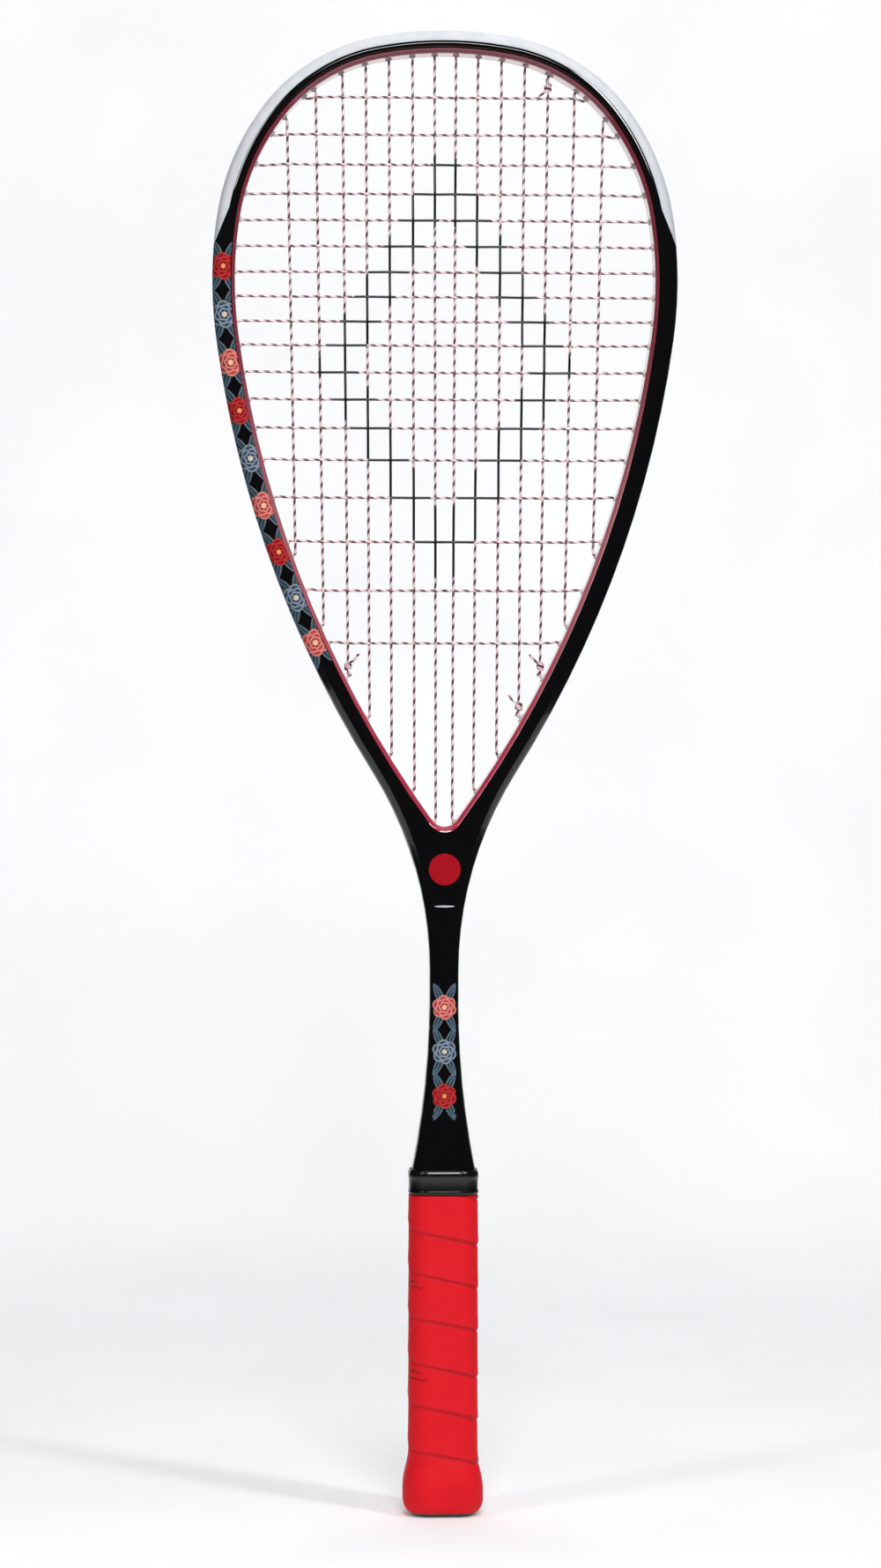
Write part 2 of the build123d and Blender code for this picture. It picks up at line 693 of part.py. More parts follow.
def make_cross_route():
    """All the crosses in one length, from its tied end at the tip to its tied end at the throat."""
    route = Route()
    first_tie, last_tie = TIP_HOLES[TIED_CROSS_TIP], THROAT_HOLES[TIED_CROSS_THROAT]
    route.add(first_tie.inner(MOUTH_INSET + OVERRUN, TIE_SHARE), EXIT_RADIUS)
    route.add(first_tie.outer(LOOP_INSET, TIE_SHARE), EXIT_RADIUS)
    route.follow(first_tie, CROSS_HOLES[1][0], LOOP_LANE, LOOP_LEAD, LOOP_LEAD)
    for index in range(CROSS_COUNT):
        lace_cross(route, index)
        side = -1 if index % 2 == 0 else 1
        if index < CROSS_COUNT - 1:
            holes = CROSS_HOLES[side]
            route.follow(holes[index], holes[index + 1], LOOP_LANE, LOOP_LEAD, LOOP_LEAD)
    route.follow(CROSS_HOLES[1][-1], last_tie, TIE_LANE, TIE_LEAD, TIE_LEAD)
    route.add(last_tie.outer(LOOP_INSET, TIE_SHARE), EXIT_RADIUS)
    route.add(last_tie.inner(MOUTH_INSET + OVERRUN, TIE_SHARE), EXIT_RADIUS)
    return route


def make_knot(hole, main, at_tip, share):
    """A knot round a main string beside its hole, with the strand that comes to it and a short tail."""
    bend = hole.inner(BEND_INSET)
    way = -1 if at_tip else 1
    centre = Vector(main_x(main, bend.Z + way * KNOT_RISE), 0, bend.Z + way * KNOT_RISE)
    body = Pos(centre) * Cylinder(KNOT_RADIUS, KNOT_LENGTH)
    body = fillet(body.edges().filter_by(GeomType.CIRCLE), KNOT_RADIUS / 3)
    start = hole.inner(MOUTH_INSET + OVERRUN, share)
    strand_top = centre + Vector(0, math.copysign(KNOT_RADIUS / 2, share), 0)
    tail_end = centre + Vector(-hole.side * TAIL_ACROSS, math.copysign(TAIL_FORWARD, share),
                              way * TAIL_LENGTH)
    strand = hole.tube(STRING_RADIUS, start, strand_top)
    tail = hole.tube(STRING_RADIUS, strand_top, tail_end)
    return body + strand + tail


def make_tie_offs(ends, strings):
    """Knots on main strings, cleared of the strings that pass through them."""
    knots = [make_knot(*end) for end in ends]
    return Compound([knot - strings for knot in knots])


def handle_prism(grow, bottom, top):
    """The pallet's section, grown by an amount, between two heights."""
    section = RectangleRounded(PALLET_WIDTH + 2 * grow, PALLET_DEPTH + 2 * grow, PALLET_ROUND + grow)
    return extrude(Plane.XY.offset(bottom) * section, top - bottom)


def cap_body(grow):
    """The flared outside of the butt cap, grown by an amount."""
    sections = []
    for height, flare in ((CAP_TOP, CAP_EDGE), (CAP_FLARE_Z, CAP_FLARE), (CAP_STRAIGHT_Z, CAP_FLARE)):
        width = PALLET_WIDTH + 2 * (flare + grow)
        depth = PALLET_DEPTH + 2 * (flare + grow)
        rounding = PALLET_ROUND + flare + grow
        sections.append(Plane.XY.offset(height) * RectangleRounded(width, depth, rounding))
    body = loft([sections[1], sections[0]])
    foot = extrude(sections[2], -CAP_STRAIGHT_Z - grow)
    foot += extrude(sections[2], CAP_FLARE_Z - CAP_STRAIGHT_Z)
    foot = fillet(foot.edges().group_by(Axis.Z)[0], CAP_ROUND + grow)
    return body + foot


def make_cap():
    """The moulded cup on the end of the pallet."""
    cup = cap_body(0) - handle_prism(FIT, PALLET_BOTTOM - FIT, CAP_TOP + OVERRUN)
    return cup - staple_pockets() - tack_pocket()


def make_pallet(side):
    """One half of the pallet, in front of (side -1) or behind (side 1) the tang."""
    whole = handle_prism(0, PALLET_BOTTOM, SHOULDER_Z - FIT)
    whole -= tang_pocket()
    half = Pos(0, side * (FAR / 2 + FIT), 0) * Box(FAR, FAR, FAR)
    return (whole & half) - staple_pockets() - tack_pocket()


def tang_pocket():
    """The space in the pallet for the tang."""
    section = RectangleRounded(TANG_WIDTH + 2 * TANG_FIT, TANG_DEPTH + 2 * TANG_FIT, TANG_ROUND)
    return extrude(Plane.XY.offset(TANG_BOTTOM - TANG_FIT) * section, FAR)


def make_plug():
    """The foam plug in the open end of the tang."""
    width = TANG_WIDTH - 2 * TANG_WALL - 2 * FIT
    depth = TANG_DEPTH - 2 * TANG_WALL - 2 * FIT
    section = RectangleRounded(width, depth, TANG_ROUND - TANG_WALL / 2)
    return extrude(Plane.XY.offset(TANG_BOTTOM) * section, PLUG_LENGTH)


def staple(side, grow):
    """A staple in the front (side -1) or back (side 1) of the cap, grown by an amount."""
    wire = STAPLE_WIRE + 2 * grow
    face_y = PALLET_DEPTH / 2 + STAPLE_SEAT
    crown = Pos(0, side * (face_y + wire / 2 - grow), STAPLE_Z) * Box(STAPLE_WIDTH + 2 * grow, wire, wire)
    legs = []
    for x in (-1, 1):
        place = (x * (STAPLE_WIDTH - STAPLE_WIRE) / 2, side * (face_y - (STAPLE_LEG + grow) / 2), STAPLE_Z)
        legs.append(Pos(*place) * Box(wire, STAPLE_LEG + grow + OVERLAP, wire))
    return crown + legs


def staple_pockets():
    """Room for both staples and for driving them in."""
    pockets = []
    for side in (-1, 1):
        pockets.append(staple(side, FIT))
        way_in = (0, side * (PALLET_DEPTH / 2 + STAPLE_SEAT + CAP_FLARE / 2), STAPLE_Z)
        pockets.append(Pos(*way_in) * Box(STAPLE_WIDTH + 2 * FIT, CAP_FLARE, STAPLE_WIRE + 2 * FIT))
    return pockets


def tack(grow):
    """The tack that holds the start of the grip on the cap, grown by an amount."""
    face_x = PALLET_WIDTH / 2 + CAP_FLARE
    head = Pos(face_x, 0, TACK_Z) * Rot(0, 90, 0) * Cylinder(
        TACK_HEAD / 2 + grow, TACK_HEAD_THICKNESS + 2 * grow, align=(Align.CENTER, Align.CENTER, Align.MIN))
    shank = Pos(face_x + OVERLAP, 0, TACK_Z) * Rot(0, -90, 0) * Cylinder(
        TACK_SHANK / 2 + grow, TACK_LENGTH + grow, align=(Align.CENTER, Align.CENTER, Align.MIN))
    return head + shank


def tack_pocket():
    return [tack(FIT)]


def make_grip():
    """The wound grip as a plain sleeve over the pallet and the cap."""
    outside = cap_body(GRIP_THICKNESS) + handle_prism(GRIP_THICKNESS, CAP_STRAIGHT_Z, GRIP_TOP)
    inside = cap_body(FIT) + handle_prism(FIT, CAP_STRAIGHT_Z, GRIP_TOP + OVERRUN)
    sleeve = (outside - inside) & between(GRIP_BOTTOM, GRIP_TOP)
    return sleeve - tack_pocket()


def make_tape():
    """The finishing tape over the joint of pallet and frame, under the collar."""
    bottom = GRIP_TOP + FIT
    ring = handle_prism(FIT + TAPE_THICKNESS, bottom, TAPE_TOP)
    return ring - handle_prism(FIT, bottom - OVERRUN, TAPE_TOP + OVERRUN)


def make_collar():
    """The rubber ring that slides on the shaft and closes the top of the grip."""
    top = COLLAR_BOTTOM + COLLAR_HEIGHT
    hole_grow = FIT + TAPE_THICKNESS + COLLAR_FIT
    ring = handle_prism(hole_grow + COLLAR_WALL, COLLAR_BOTTOM, top)
    ring = fillet(ring.edges().group_by(Axis.Z)[-1], COLLAR_ROUND)
    return ring - handle_prism(hole_grow, COLLAR_BOTTOM - OVERRUN, top + OVERRUN)


def write(name, shape):
    """Write one piece to its own file."""
    export_step(shape, os.path.join("parts", name + ".step"))
    print(name, len(shape.solids()), round(shape.volume, 1))


def main():
    os.makedirs("parts", exist_ok=True)
    write("frame", make_frame())
    write("bumper_guard", make_guard())
    write("side_grommet_strip_left", make_side_strip(-1))
    write("side_grommet_strip_right", make_side_strip(1))
    write("throat_grommet_strip_left", make_throat_strip(-1))
    write("throat_grommet_strip_right", make_throat_strip(1))
    main_path = make_main_route().wire()
    cross_path = make_cross_route().wire()
    for name, path in (("main_string", main_path), ("cross_string", cross_path)):
        solid = string_along(path, STRING_RADIUS)
        print(name, "length", round(path.length), "section", round(solid.volume / path.length, 4))
        write(name, solid)
    room = [string_along(path, STRING_RADIUS + FIT) for path in (main_path, cross_path)]
    main_ends = [(THROAT_HOLES[main], main, False, -TIE_SHARE) for main in TIED_MAIN_THROAT]
    cross_ends = [(TIP_HOLES[TIED_CROSS_TIP], TIED_CROSS_TIP, True, TIE_SHARE),
                  (THROAT_HOLES[TIED_CROSS_THROAT], TIED_CROSS_THROAT, False, TIE_SHARE)]
    write("main_tie_offs", make_tie_offs(main_ends, room))
    write("cross_tie_offs", make_tie_offs(cross_ends, room))
    write("handle_pallet_front", make_pallet(-1))
    write("handle_pallet_back", make_pallet(1))
    write("tang_plug", make_plug())
    write("butt_cap", make_cap())
    write("butt_cap_staples", Compound([staple(side, 0) for side in (-1, 1)]))
    write("grip_tack", tack(0))
    write("grip_wrap", make_grip())
    write("finishing_tape", make_tape())
    write("grip_collar", make_collar())


main()
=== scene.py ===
import logging
import math
from dataclasses import dataclass, field
from enum import Enum
from typing import Callable, Iterable, Optional

import bmesh
import bpy
import numpy as np
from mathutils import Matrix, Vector
from mathutils.bvhtree import BVHTree


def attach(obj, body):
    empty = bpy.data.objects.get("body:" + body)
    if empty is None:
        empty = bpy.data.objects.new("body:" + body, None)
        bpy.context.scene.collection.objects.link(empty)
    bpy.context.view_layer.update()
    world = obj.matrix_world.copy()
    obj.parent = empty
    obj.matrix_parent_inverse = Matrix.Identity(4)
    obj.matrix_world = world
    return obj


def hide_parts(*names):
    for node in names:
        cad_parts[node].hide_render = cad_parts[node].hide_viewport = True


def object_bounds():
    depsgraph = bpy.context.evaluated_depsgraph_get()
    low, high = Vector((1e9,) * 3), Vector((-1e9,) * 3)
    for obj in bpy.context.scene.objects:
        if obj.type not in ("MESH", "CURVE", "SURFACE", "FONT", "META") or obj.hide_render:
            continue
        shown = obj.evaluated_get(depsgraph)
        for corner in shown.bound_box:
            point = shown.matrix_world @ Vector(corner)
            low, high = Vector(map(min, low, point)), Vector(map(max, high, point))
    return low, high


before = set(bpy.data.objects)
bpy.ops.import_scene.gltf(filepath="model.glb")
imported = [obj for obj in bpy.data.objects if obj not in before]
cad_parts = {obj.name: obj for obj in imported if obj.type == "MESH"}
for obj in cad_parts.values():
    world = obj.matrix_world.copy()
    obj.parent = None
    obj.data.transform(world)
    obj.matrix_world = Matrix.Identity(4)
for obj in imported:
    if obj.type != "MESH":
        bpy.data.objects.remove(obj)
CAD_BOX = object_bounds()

log = logging.getLogger("racket")

MM = 0.001
ROOT_BODY = "racket"

Colour = tuple[float, float, float, float]


def srgb(code: str) -> Colour:
    """Turn an sRGB hex value such as "cc1a24" into a linear colour.

    Args:
        code: six hex digits.

    Returns:
        Red, green, blue and alpha, linear.
    """
    parts = [int(code[i:i + 2], 16) / 255 for i in (0, 2, 4)]
    red, green, blue = [p / 12.92 if p <= 0.04045 else ((p + 0.055) / 1.055) ** 2.4 for p in parts]
    return red, green, blue, 1.0


# ---------------------------------------------------------------- nodes

def add_node(tree: bpy.types.NodeTree, kind: str, settings: Optional[dict] = None,
             links: Optional[dict] = None) -> bpy.types.Node:
    """Add a node, set its properties and socket values, and link its inputs.

    Args:
        tree: the tree that takes the node.
        kind: the node's type name.
        settings: property or input names with their values.
        links: input names or numbers with the output sockets that feed them.

    Returns:
        The new node.
    """
    node = tree.nodes.new(kind)
    for name, value in (settings or {}).items():
        if isinstance(name, str) and hasattr(node, name):
            setattr(node, name, value)
        else:
            node.inputs[name].default_value = value
    for name, output in (links or {}).items():
        tree.links.new(output, node.inputs[name])
    return node


class Shader:
    """A material under construction, with its surface shader and short ways to add to it."""

    def __init__(self, name: str) -> None:
        """Start an empty material with a Principled shader.

        Args:
            name: the material's name.
        """
        self.material = bpy.data.materials.new(name)
        self.material.use_nodes = True
        self.tree = self.material.node_tree
        self.tree.nodes.clear()
        self.surface = add_node(self.tree, "ShaderNodeBsdfPrincipled")
        output = add_node(self.tree, "ShaderNodeOutputMaterial")
        self.tree.links.new(self.surface.outputs[0], output.inputs["Surface"])

    def set(self, **values: object) -> None:
        """Set the shader's own sockets; an underscore in a name stands for a space."""
        for name, value in values.items():
            self.surface.inputs[name.replace("_", " ")].default_value = value

    def link(self, name: str, output: bpy.types.NodeSocket) -> None:
        """Feed one of the shader's sockets."""
        self.tree.links.new(output, self.surface.inputs[name])

    def add(self, kind: str, settings: Optional[dict] = None,
            links: Optional[dict] = None) -> bpy.types.Node:
        """Add a node to this material's tree."""
        return add_node(self.tree, kind, settings, links)

    def place(self) -> bpy.types.NodeSocket:
        """Object coordinates, in metres."""
        return self.add("ShaderNodeTexCoord").outputs["Object"]

    def maths(self, operation: str, *values: object) -> bpy.types.NodeSocket:
        """A Math node whose inputs are numbers or sockets.

        Args:
            operation: the node's operation.
            values: its inputs in order, each a number or a socket.

        Returns:
            The node's output.
        """
        settings = {"operation": operation}
        links = {}
        for i, value in enumerate(values):
            if isinstance(value, bpy.types.NodeSocket):
                links[i] = value
            else:
                settings[i] = value
        return self.add("ShaderNodeMath", settings, links).outputs[0]

    def step(self, value: bpy.types.NodeSocket, low: float, high: float) -> bpy.types.NodeSocket:
        """A smooth step from 0 at low to 1 at high.

        Args:
            value: the socket to compare.
            low: where the step starts.
            high: where it ends.

        Returns:
            The step, from 0 to 1.
        """
        node = self.add("ShaderNodeMapRange", {"interpolation_type": "SMOOTHSTEP"}, {"Value": value})
        node.inputs["From Min"].default_value = low
        node.inputs["From Max"].default_value = high
        return node.outputs[0]

    def mix(self, share: bpy.types.NodeSocket, first: object, second: object) -> bpy.types.NodeSocket:
        """Mix two colours, each a colour or a socket.

        Args:
            share: how much of the second shows.
            first: the colour at 0.
            second: the colour at 1.

        Returns:
            The mixed colour.
        """
        node = self.add("ShaderNodeMix", {"data_type": "RGBA"})
        self.tree.links.new(share, node.inputs[0])
        for slot, value in ((6, first), (7, second)):
            if isinstance(value, bpy.types.NodeSocket):
                self.tree.links.new(value, node.inputs[slot])
            else:
                node.inputs[slot].default_value = value
        return node.outputs[2]

    def noise(self, grain_mm: float, detail: float = 2.0) -> bpy.types.NodeSocket:
        """Noise whose features are about grain_mm across."""
        settings = {"Scale": 1 / (grain_mm * MM), "Detail": detail}
        return self.add("ShaderNodeTexNoise", settings, {"Vector": self.place()}).outputs[0]

    def bump(self, height: bpy.types.NodeSocket, depth_mm: float, strength: float = 1.0) -> None:
        """Bump of a depth in millimetres."""
        node = self.add("ShaderNodeBump", {"Strength": strength, "Distance": depth_mm * MM},
                        {"Height": height})
        self.link("Normal", node.outputs[0])


# ---------------------------------------------------------------- finishes

@dataclass(frozen=True)
class FrameLacquer:
    """Clear-coated black lacquer over carbon composite, sprayed: a deep mirror gloss with faint orange
    peel. The wall inside the hoop is sprayed crimson at the throat and fades to a dusty rose higher up,
    with a maroon edge in front."""

    black: str = "08080a"
    crimson: str = "a62b45"
    rose: str = "d79aa0"
    maroon: str = "7d2f3e"
    head_centre: tuple[float, float, float] = (0.0, 0.0, 0.5)
    edge: float = 0.42
    throat_edge: float = 0.27
    peel_mm: float = 6.0

    def material(self) -> bpy.types.Material:
        """Build the material.

        Returns:
            The material.
        """
        shader = Shader("black_crimson_lacquer")
        inward = self.inward(shader)
        place = shader.place()
        parts = shader.add("ShaderNodeSeparateXYZ", links={0: place})
        height = shader.step(parts.outputs[2], 0.34, 0.56)
        wall = shader.mix(height, srgb(self.crimson), srgb(self.rose))
        behind = shader.step(parts.outputs[1], -0.0075, -0.0035)
        pale = shader.maths("MAXIMUM", behind, shader.maths("SUBTRACT", 1.0, height))
        wall = shader.mix(pale, srgb(self.maroon), wall)
        low = shader.step(parts.outputs[2], 0.33, 0.42)
        edge = shader.maths("MULTIPLY_ADD", low, self.edge - self.throat_edge, self.throat_edge)
        mask = shader.step(shader.maths("SUBTRACT", inward, edge), -0.02, 0.02)
        above_throat = shader.step(parts.outputs[2], 0.300, 0.304)
        mask = shader.maths("MULTIPLY", mask, above_throat)
        shader.link("Base Color", shader.mix(mask, srgb(self.black), wall))
        shader.set(Roughness=0.1, IOR=1.45, Coat_Weight=0.4, Coat_Roughness=0.03)
        shader.bump(shader.noise(self.peel_mm, 1.0), 0.004, 0.2)
        return shader.material

    def inward(self, shader: Shader) -> bpy.types.NodeSocket:
        """How squarely the surface faces the middle of the head, from -1 to 1.

        Args:
            shader: the material under construction.

        Returns:
            The cosine between the surface and the way to the middle.
        """
        towards = shader.add("ShaderNodeVectorMath", {"operation": "SUBTRACT", 0: self.head_centre},
                             {1: shader.place()})
        flat = shader.add("ShaderNodeVectorMath", {"operation": "MULTIPLY", 1: (1, 0, 1)},
                          {0: towards.outputs[0]})
        unit = shader.add("ShaderNodeVectorMath", {"operation": "NORMALIZE"}, {0: flat.outputs[0]})
        normal = shader.add("ShaderNodeTexCoord").outputs["Normal"]
        dot = shader.add("ShaderNodeVectorMath", {"operation": "DOT_PRODUCT"},
                         {0: unit.outputs[0], 1: normal})
        return dot.outputs["Value"]


@dataclass(frozen=True)
class PrintedLacquer:
    """Water-slide print under the same clear coat: the print's colours come from the film itself."""

    attribute: str = "print"

    def material(self) -> bpy.types.Material:
        """Build the material.

        Returns:
            The material.
        """
        shader = Shader("printed_clear_lacquer")
        colour = shader.add("ShaderNodeAttribute", {"attribute_name": self.attribute})
        shader.link("Base Color", colour.outputs["Color"])
        shader.set(Roughness=0.12, IOR=1.45, Coat_Weight=0.4, Coat_Roughness=0.03)
        return shader.material


@dataclass(frozen=True)
class MouldedNylon:
    """Injection-moulded nylon, uncoloured: milky, letting a little light in, with a soft moulded sheen."""

    name: str
    colour: str
    shade: str
    roughness: float

    def material(self) -> bpy.types.Material:
        """Build the material.

        Returns:
            The material.
        """
        shader = Shader(self.name)
        cloud = shader.step(shader.noise(9.0, 3.0), 0.35, 0.65)
        shader.link("Base Color", shader.mix(cloud, srgb(self.colour), srgb(self.shade)))
        shader.set(Roughness=self.roughness, IOR=1.53)
        shader.set(Subsurface_Weight=0.25, Subsurface_Scale=0.003)
        shader.bump(shader.noise(0.9, 2.0), 0.01, 0.4)
        return shader.material


@dataclass(frozen=True)
class TracedString:
    """Multifilament nylon string, clear-coated: a pale pink core with a dark tracer thread wound round
    it, and stencil ink on the middle of the bed."""

    core: str = "e8cfd2"
    thread: str = "5a3a44"
    ink: str = "040506"
    pitch_mm: float = 5.1
    thread_edge: float = 0.1
    lozenge_centre: tuple[float, float] = (0.0, 0.532)
    lozenge_half: tuple[float, float] = (0.060, 0.104)
    lozenge_inner: float = 0.70

    def material(self) -> bpy.types.Material:
        """Build the material.

        Returns:
            The material.
        """
        shader = Shader("traced_multifilament_string")
        along = shader.add("ShaderNodeAttribute", {"attribute_name": "along"}).outputs["Fac"]
        around = shader.add("ShaderNodeAttribute", {"attribute_name": "round"}).outputs["Vector"]
        angle = shader.maths("MULTIPLY", along, math.tau / (self.pitch_mm * MM))
        parts = shader.add("ShaderNodeSeparateXYZ", links={0: around})
        across = shader.maths("MULTIPLY", shader.maths("COSINE", angle), parts.outputs[0])
        upwards = shader.maths("MULTIPLY", shader.maths("SINE", angle), parts.outputs[1])
        turn = shader.maths("ADD", across, upwards)
        thread = shader.step(turn, self.thread_edge - 0.08, self.thread_edge + 0.08)
        body = shader.mix(thread, srgb(self.core), srgb(self.thread))
        shader.link("Base Color", shader.mix(self.stencil(shader), body, srgb(self.ink)))
        shader.set(Roughness=0.3, IOR=1.53, Coat_Weight=0.4, Coat_Roughness=0.1)
        shader.set(Subsurface_Weight=0.2, Subsurface_Scale=0.001)
        return shader.material

    def stencil(self, shader: Shader) -> bpy.types.NodeSocket:
        """Where the ink of a plain lozenge outline lies.

        Args:
            shader: the material under construction.

        Returns:
            1 where there is ink, 0 elsewhere.
        """
        parts = shader.add("ShaderNodeSeparateXYZ", links={0: shader.place()})
        reach = []
        for slot, centre, half in ((0, self.lozenge_centre[0], self.lozenge_half[0]),
                                   (2, self.lozenge_centre[1], self.lozenge_half[1])):
            distance = shader.maths("ABSOLUTE", shader.maths("SUBTRACT", parts.outputs[slot], centre))
            reach.append(shader.maths("DIVIDE", distance, half))
        total = shader.maths("ADD", *reach)
        outer = shader.step(total, 1.02, 1.0)
        inner = shader.step(total, self.lozenge_inner - 0.02, self.lozenge_inner)
        return shader.maths("MULTIPLY", outer, inner)


@dataclass(frozen=True)
class CushionGrip:
    """Embossed polyurethane grip strip on felt backing: matt, faintly tacky, with a fine leather grain and
    paler where its edges are stretched; shade is painted into the creases between turns and into the
    folds."""

    colour: str = "db1220"
    deep: str = "c80d1a"
    pale: str = "e02a38"
    # Painted shade colour for the creases between turns and the pulled folds.
    shadow: str = "94101c"
    grain_mm: float = 0.7

    def material(self) -> bpy.types.Material:
        """Build the material.

        Returns:
            The material.
        """
        shader = Shader("embossed_polyurethane_grip")
        edge = shader.add("ShaderNodeAttribute", {"attribute_name": "edge"}).outputs["Fac"]
        crease_and_shade = shader.add("ShaderNodeAttribute", {"attribute_name": "crease_and_shade"}).outputs["Fac"]
        cloud = shader.step(shader.noise(14.0, 3.0), 0.3, 0.7)
        face = shader.mix(cloud, srgb(self.colour), srgb(self.deep))
        face = shader.mix(shader.maths("MULTIPLY", cloud, 0.35), srgb(self.colour), face)
        worn = shader.mix(shader.maths("MULTIPLY", edge, 0.45), face, srgb(self.pale))
        # Painted shade: the creases between turns and the pulled folds are darkened towards the shadow
        # red.
        shader.link("Base Color", shader.mix(shader.maths("MULTIPLY", crease_and_shade, 0.6), worn,
                                             srgb(self.shadow)))
        shader.set(Roughness=0.62, IOR=1.45, Specular_IOR_Level=0.2)
        cells = shader.add("ShaderNodeTexVoronoi", {"Scale": 1 / (self.grain_mm * MM)},
                           {"Vector": shader.place()})
        shader.bump(cells.outputs["Distance"], 0.05, 0.35)
        return shader.material


@dataclass(frozen=True)
class SmoothRubber:
    """Moulded natural rubber: black, satin, with a dusty bloom in patches."""

    name: str = "moulded_black_rubber"
    colour: str = "070708"
    bloom: str = "0d0d0e"
    roughness: float = 0.22

    def material(self) -> bpy.types.Material:
        """Build the material.

        Returns:
            The material.
        """
        shader = Shader(self.name)
        cloud = shader.step(shader.noise(5.0, 3.0), 0.4, 0.7)
        shader.link("Base Color", shader.mix(cloud, srgb(self.colour), srgb(self.bloom)))
        shader.set(Roughness=self.roughness, IOR=1.52)
        shader.bump(shader.noise(0.6, 2.0), 0.01, 0.5)
        return shader.material


@dataclass(frozen=True)
class DrawnSteel:
    """Drawn steel wire, bright: fine streaks left by the die."""

    def material(self) -> bpy.types.Material:
        """Build the material.

        Returns:
            The material.
        """
        shader = Shader("drawn_steel_wire")
        streak = shader.noise(0.4, 1.0)
        shader.link("Base Color", shader.mix(streak, srgb("b9babd"), srgb("8d8f93")))
        shader.set(Metallic=1.0, Roughness=0.35)
        return shader.material


# ---------------------------------------------------------------- outline of the head

@dataclass
class Arc:
    """One arc of the head's outline, in millimetres. A turn is the angle of its outward normal from +Z."""

    x: float
    z: float
    radius: float
    start: float
    end: float
    hollow: bool = False

    def point(self, turn: float, inset: float) -> tuple[float, float]:
        """The place at a turn, moved inwards by inset."""
        reach = -(self.radius + inset) if self.hollow else self.radius - inset
        angle = math.radians(turn)
        return self.x + reach * math.sin(angle), self.z + reach * math.cos(angle)

    def length(self) -> float:
        """Length of the arc."""
        return self.radius * math.radians(abs(self.end - self.start))


@dataclass
class HeadOutline:
    """The teardrop outline of hoop and throat, as arcs from the tip down the right side."""

    tip_arcs: tuple = ((173.0, 10.8), (84.7, 42.5), (111.4, 28.4), (199.9, 16.1))
    leg_radius: float = 504.5
    hollow_radius: float = 172.0
    apex_radius: float = 7.0
    wall: float = 10.5
    half_shaft: float = 6.75
    outside: list = field(default_factory=list)
    inside: list = field(default_factory=list)

    def __post_init__(self) -> None:
        """Chain the arcs from the frame's highest point."""
        x, z, turn = 0.0, CAD_BOX[1][2] / MM, 0.0
        arcs = []
        for radius, sweep in self.tip_arcs + ((self.leg_radius, 60.0),):
            angle = math.radians(turn)
            arcs.append(Arc(x - radius * math.sin(angle), z - radius * math.cos(angle), radius,
                            turn, turn + sweep))
            x, z = arcs[-1].point(turn + sweep, 0.0)
            turn += sweep
        leg = arcs[-1]
        hollow_x = self.half_shaft + self.hollow_radius
        reach = leg.radius + self.hollow_radius
        hollow_z = leg.z - math.sqrt(reach ** 2 - (hollow_x - leg.x) ** 2)
        meet = 90 + math.degrees(math.atan2(leg.z - hollow_z, hollow_x - leg.x))
        hollow = Arc(hollow_x, hollow_z, self.hollow_radius, meet, 90.0, hollow=True)
        reach = leg.radius - self.wall - self.apex_radius
        apex_z = leg.z - math.sqrt(reach ** 2 - leg.x ** 2)
        apex_turn = 90 + math.degrees(math.atan2(leg.z - apex_z, -leg.x))
        apex = Arc(0.0, apex_z, self.apex_radius + self.wall, apex_turn, 180.0)
        self.outside = arcs[:-1] + [Arc(leg.x, leg.z, leg.radius, leg.start, meet), hollow]
        self.inside = arcs[:-1] + [Arc(leg.x, leg.z, leg.radius, leg.start, apex_turn), apex]

    def outside_at(self, length: float, inset: float) -> tuple[float, float, float]:
        """Place and turn at a length from the tip.

        Args:
            length: millimetres along the outside from the tip.
            inset: millimetres inwards.

        Returns:
            X and Z in millimetres, and the turn in degrees.
        """
        arc = self.outside[0]
        for arc in self.outside:
            if length <= arc.length():
                break
            length -= arc.length()
        turn = arc.start + (arc.end - arc.start) * length / arc.length()
        x, z = arc.point(turn, inset)
        return x, z, turn

    def inside_at(self, turn: float, inset: float) -> tuple[float, float]:
        """Place at a turn of the inner wall's outline, moved inwards by inset.

        Args:
            turn: angle of the outline's outward normal from +Z, in degrees.
            inset: millimetres inwards from the outside.

        Returns:
            X and Z in millimetres.
        """
        for arc in self.inside:
            if turn <= arc.end:
                return arc.point(turn, inset)
        return self.inside[-1].point(turn, inset)

    def total(self) -> float:
        """Length of the outside from the tip to the shaft."""
        return sum(arc.length() for arc in self.outside)


def solve(rule: Callable[[float], float], low: float, high: float) -> float:
    """Where a rule that changes sign between low and high is zero.

    Args:
        rule: the rule.
        low: where the search starts.
        high: where it ends.

    Returns:
        The place, to a tiny part of the search.
    """
    rising = rule(high) > rule(low)
    for _ in range(50):
        middle = (low + high) / 2
        if (rule(middle) > 0) == rising:
            high = middle
        else:
            low = middle
    return (low + high) / 2


# ---------------------------------------------------------------- meshes

def mesh_object(name: str, vertices: Iterable, faces: Iterable, material: bpy.types.Material,
                smooth: bool = True) -> bpy.types.Object:
    """Make an object at the origin from vertices in metres.

    Args:
        name: the piece's name.
        vertices: places in metres.
        faces: rows of vertex numbers.
        material: its finish.
        smooth: whether its faces are shaded smooth.

    Returns:
        The new object, linked to the scene.
    """
    mesh = bpy.data.meshes.new(name)
    mesh.from_pydata([tuple(v) for v in vertices], [], [tuple(f) for f in faces])
    mesh.materials.append(material)
    if smooth:
        mesh.shade_smooth()
    mesh.update()
    piece = bpy.data.objects.new(name, mesh)
    bpy.context.scene.collection.objects.link(piece)
    return piece


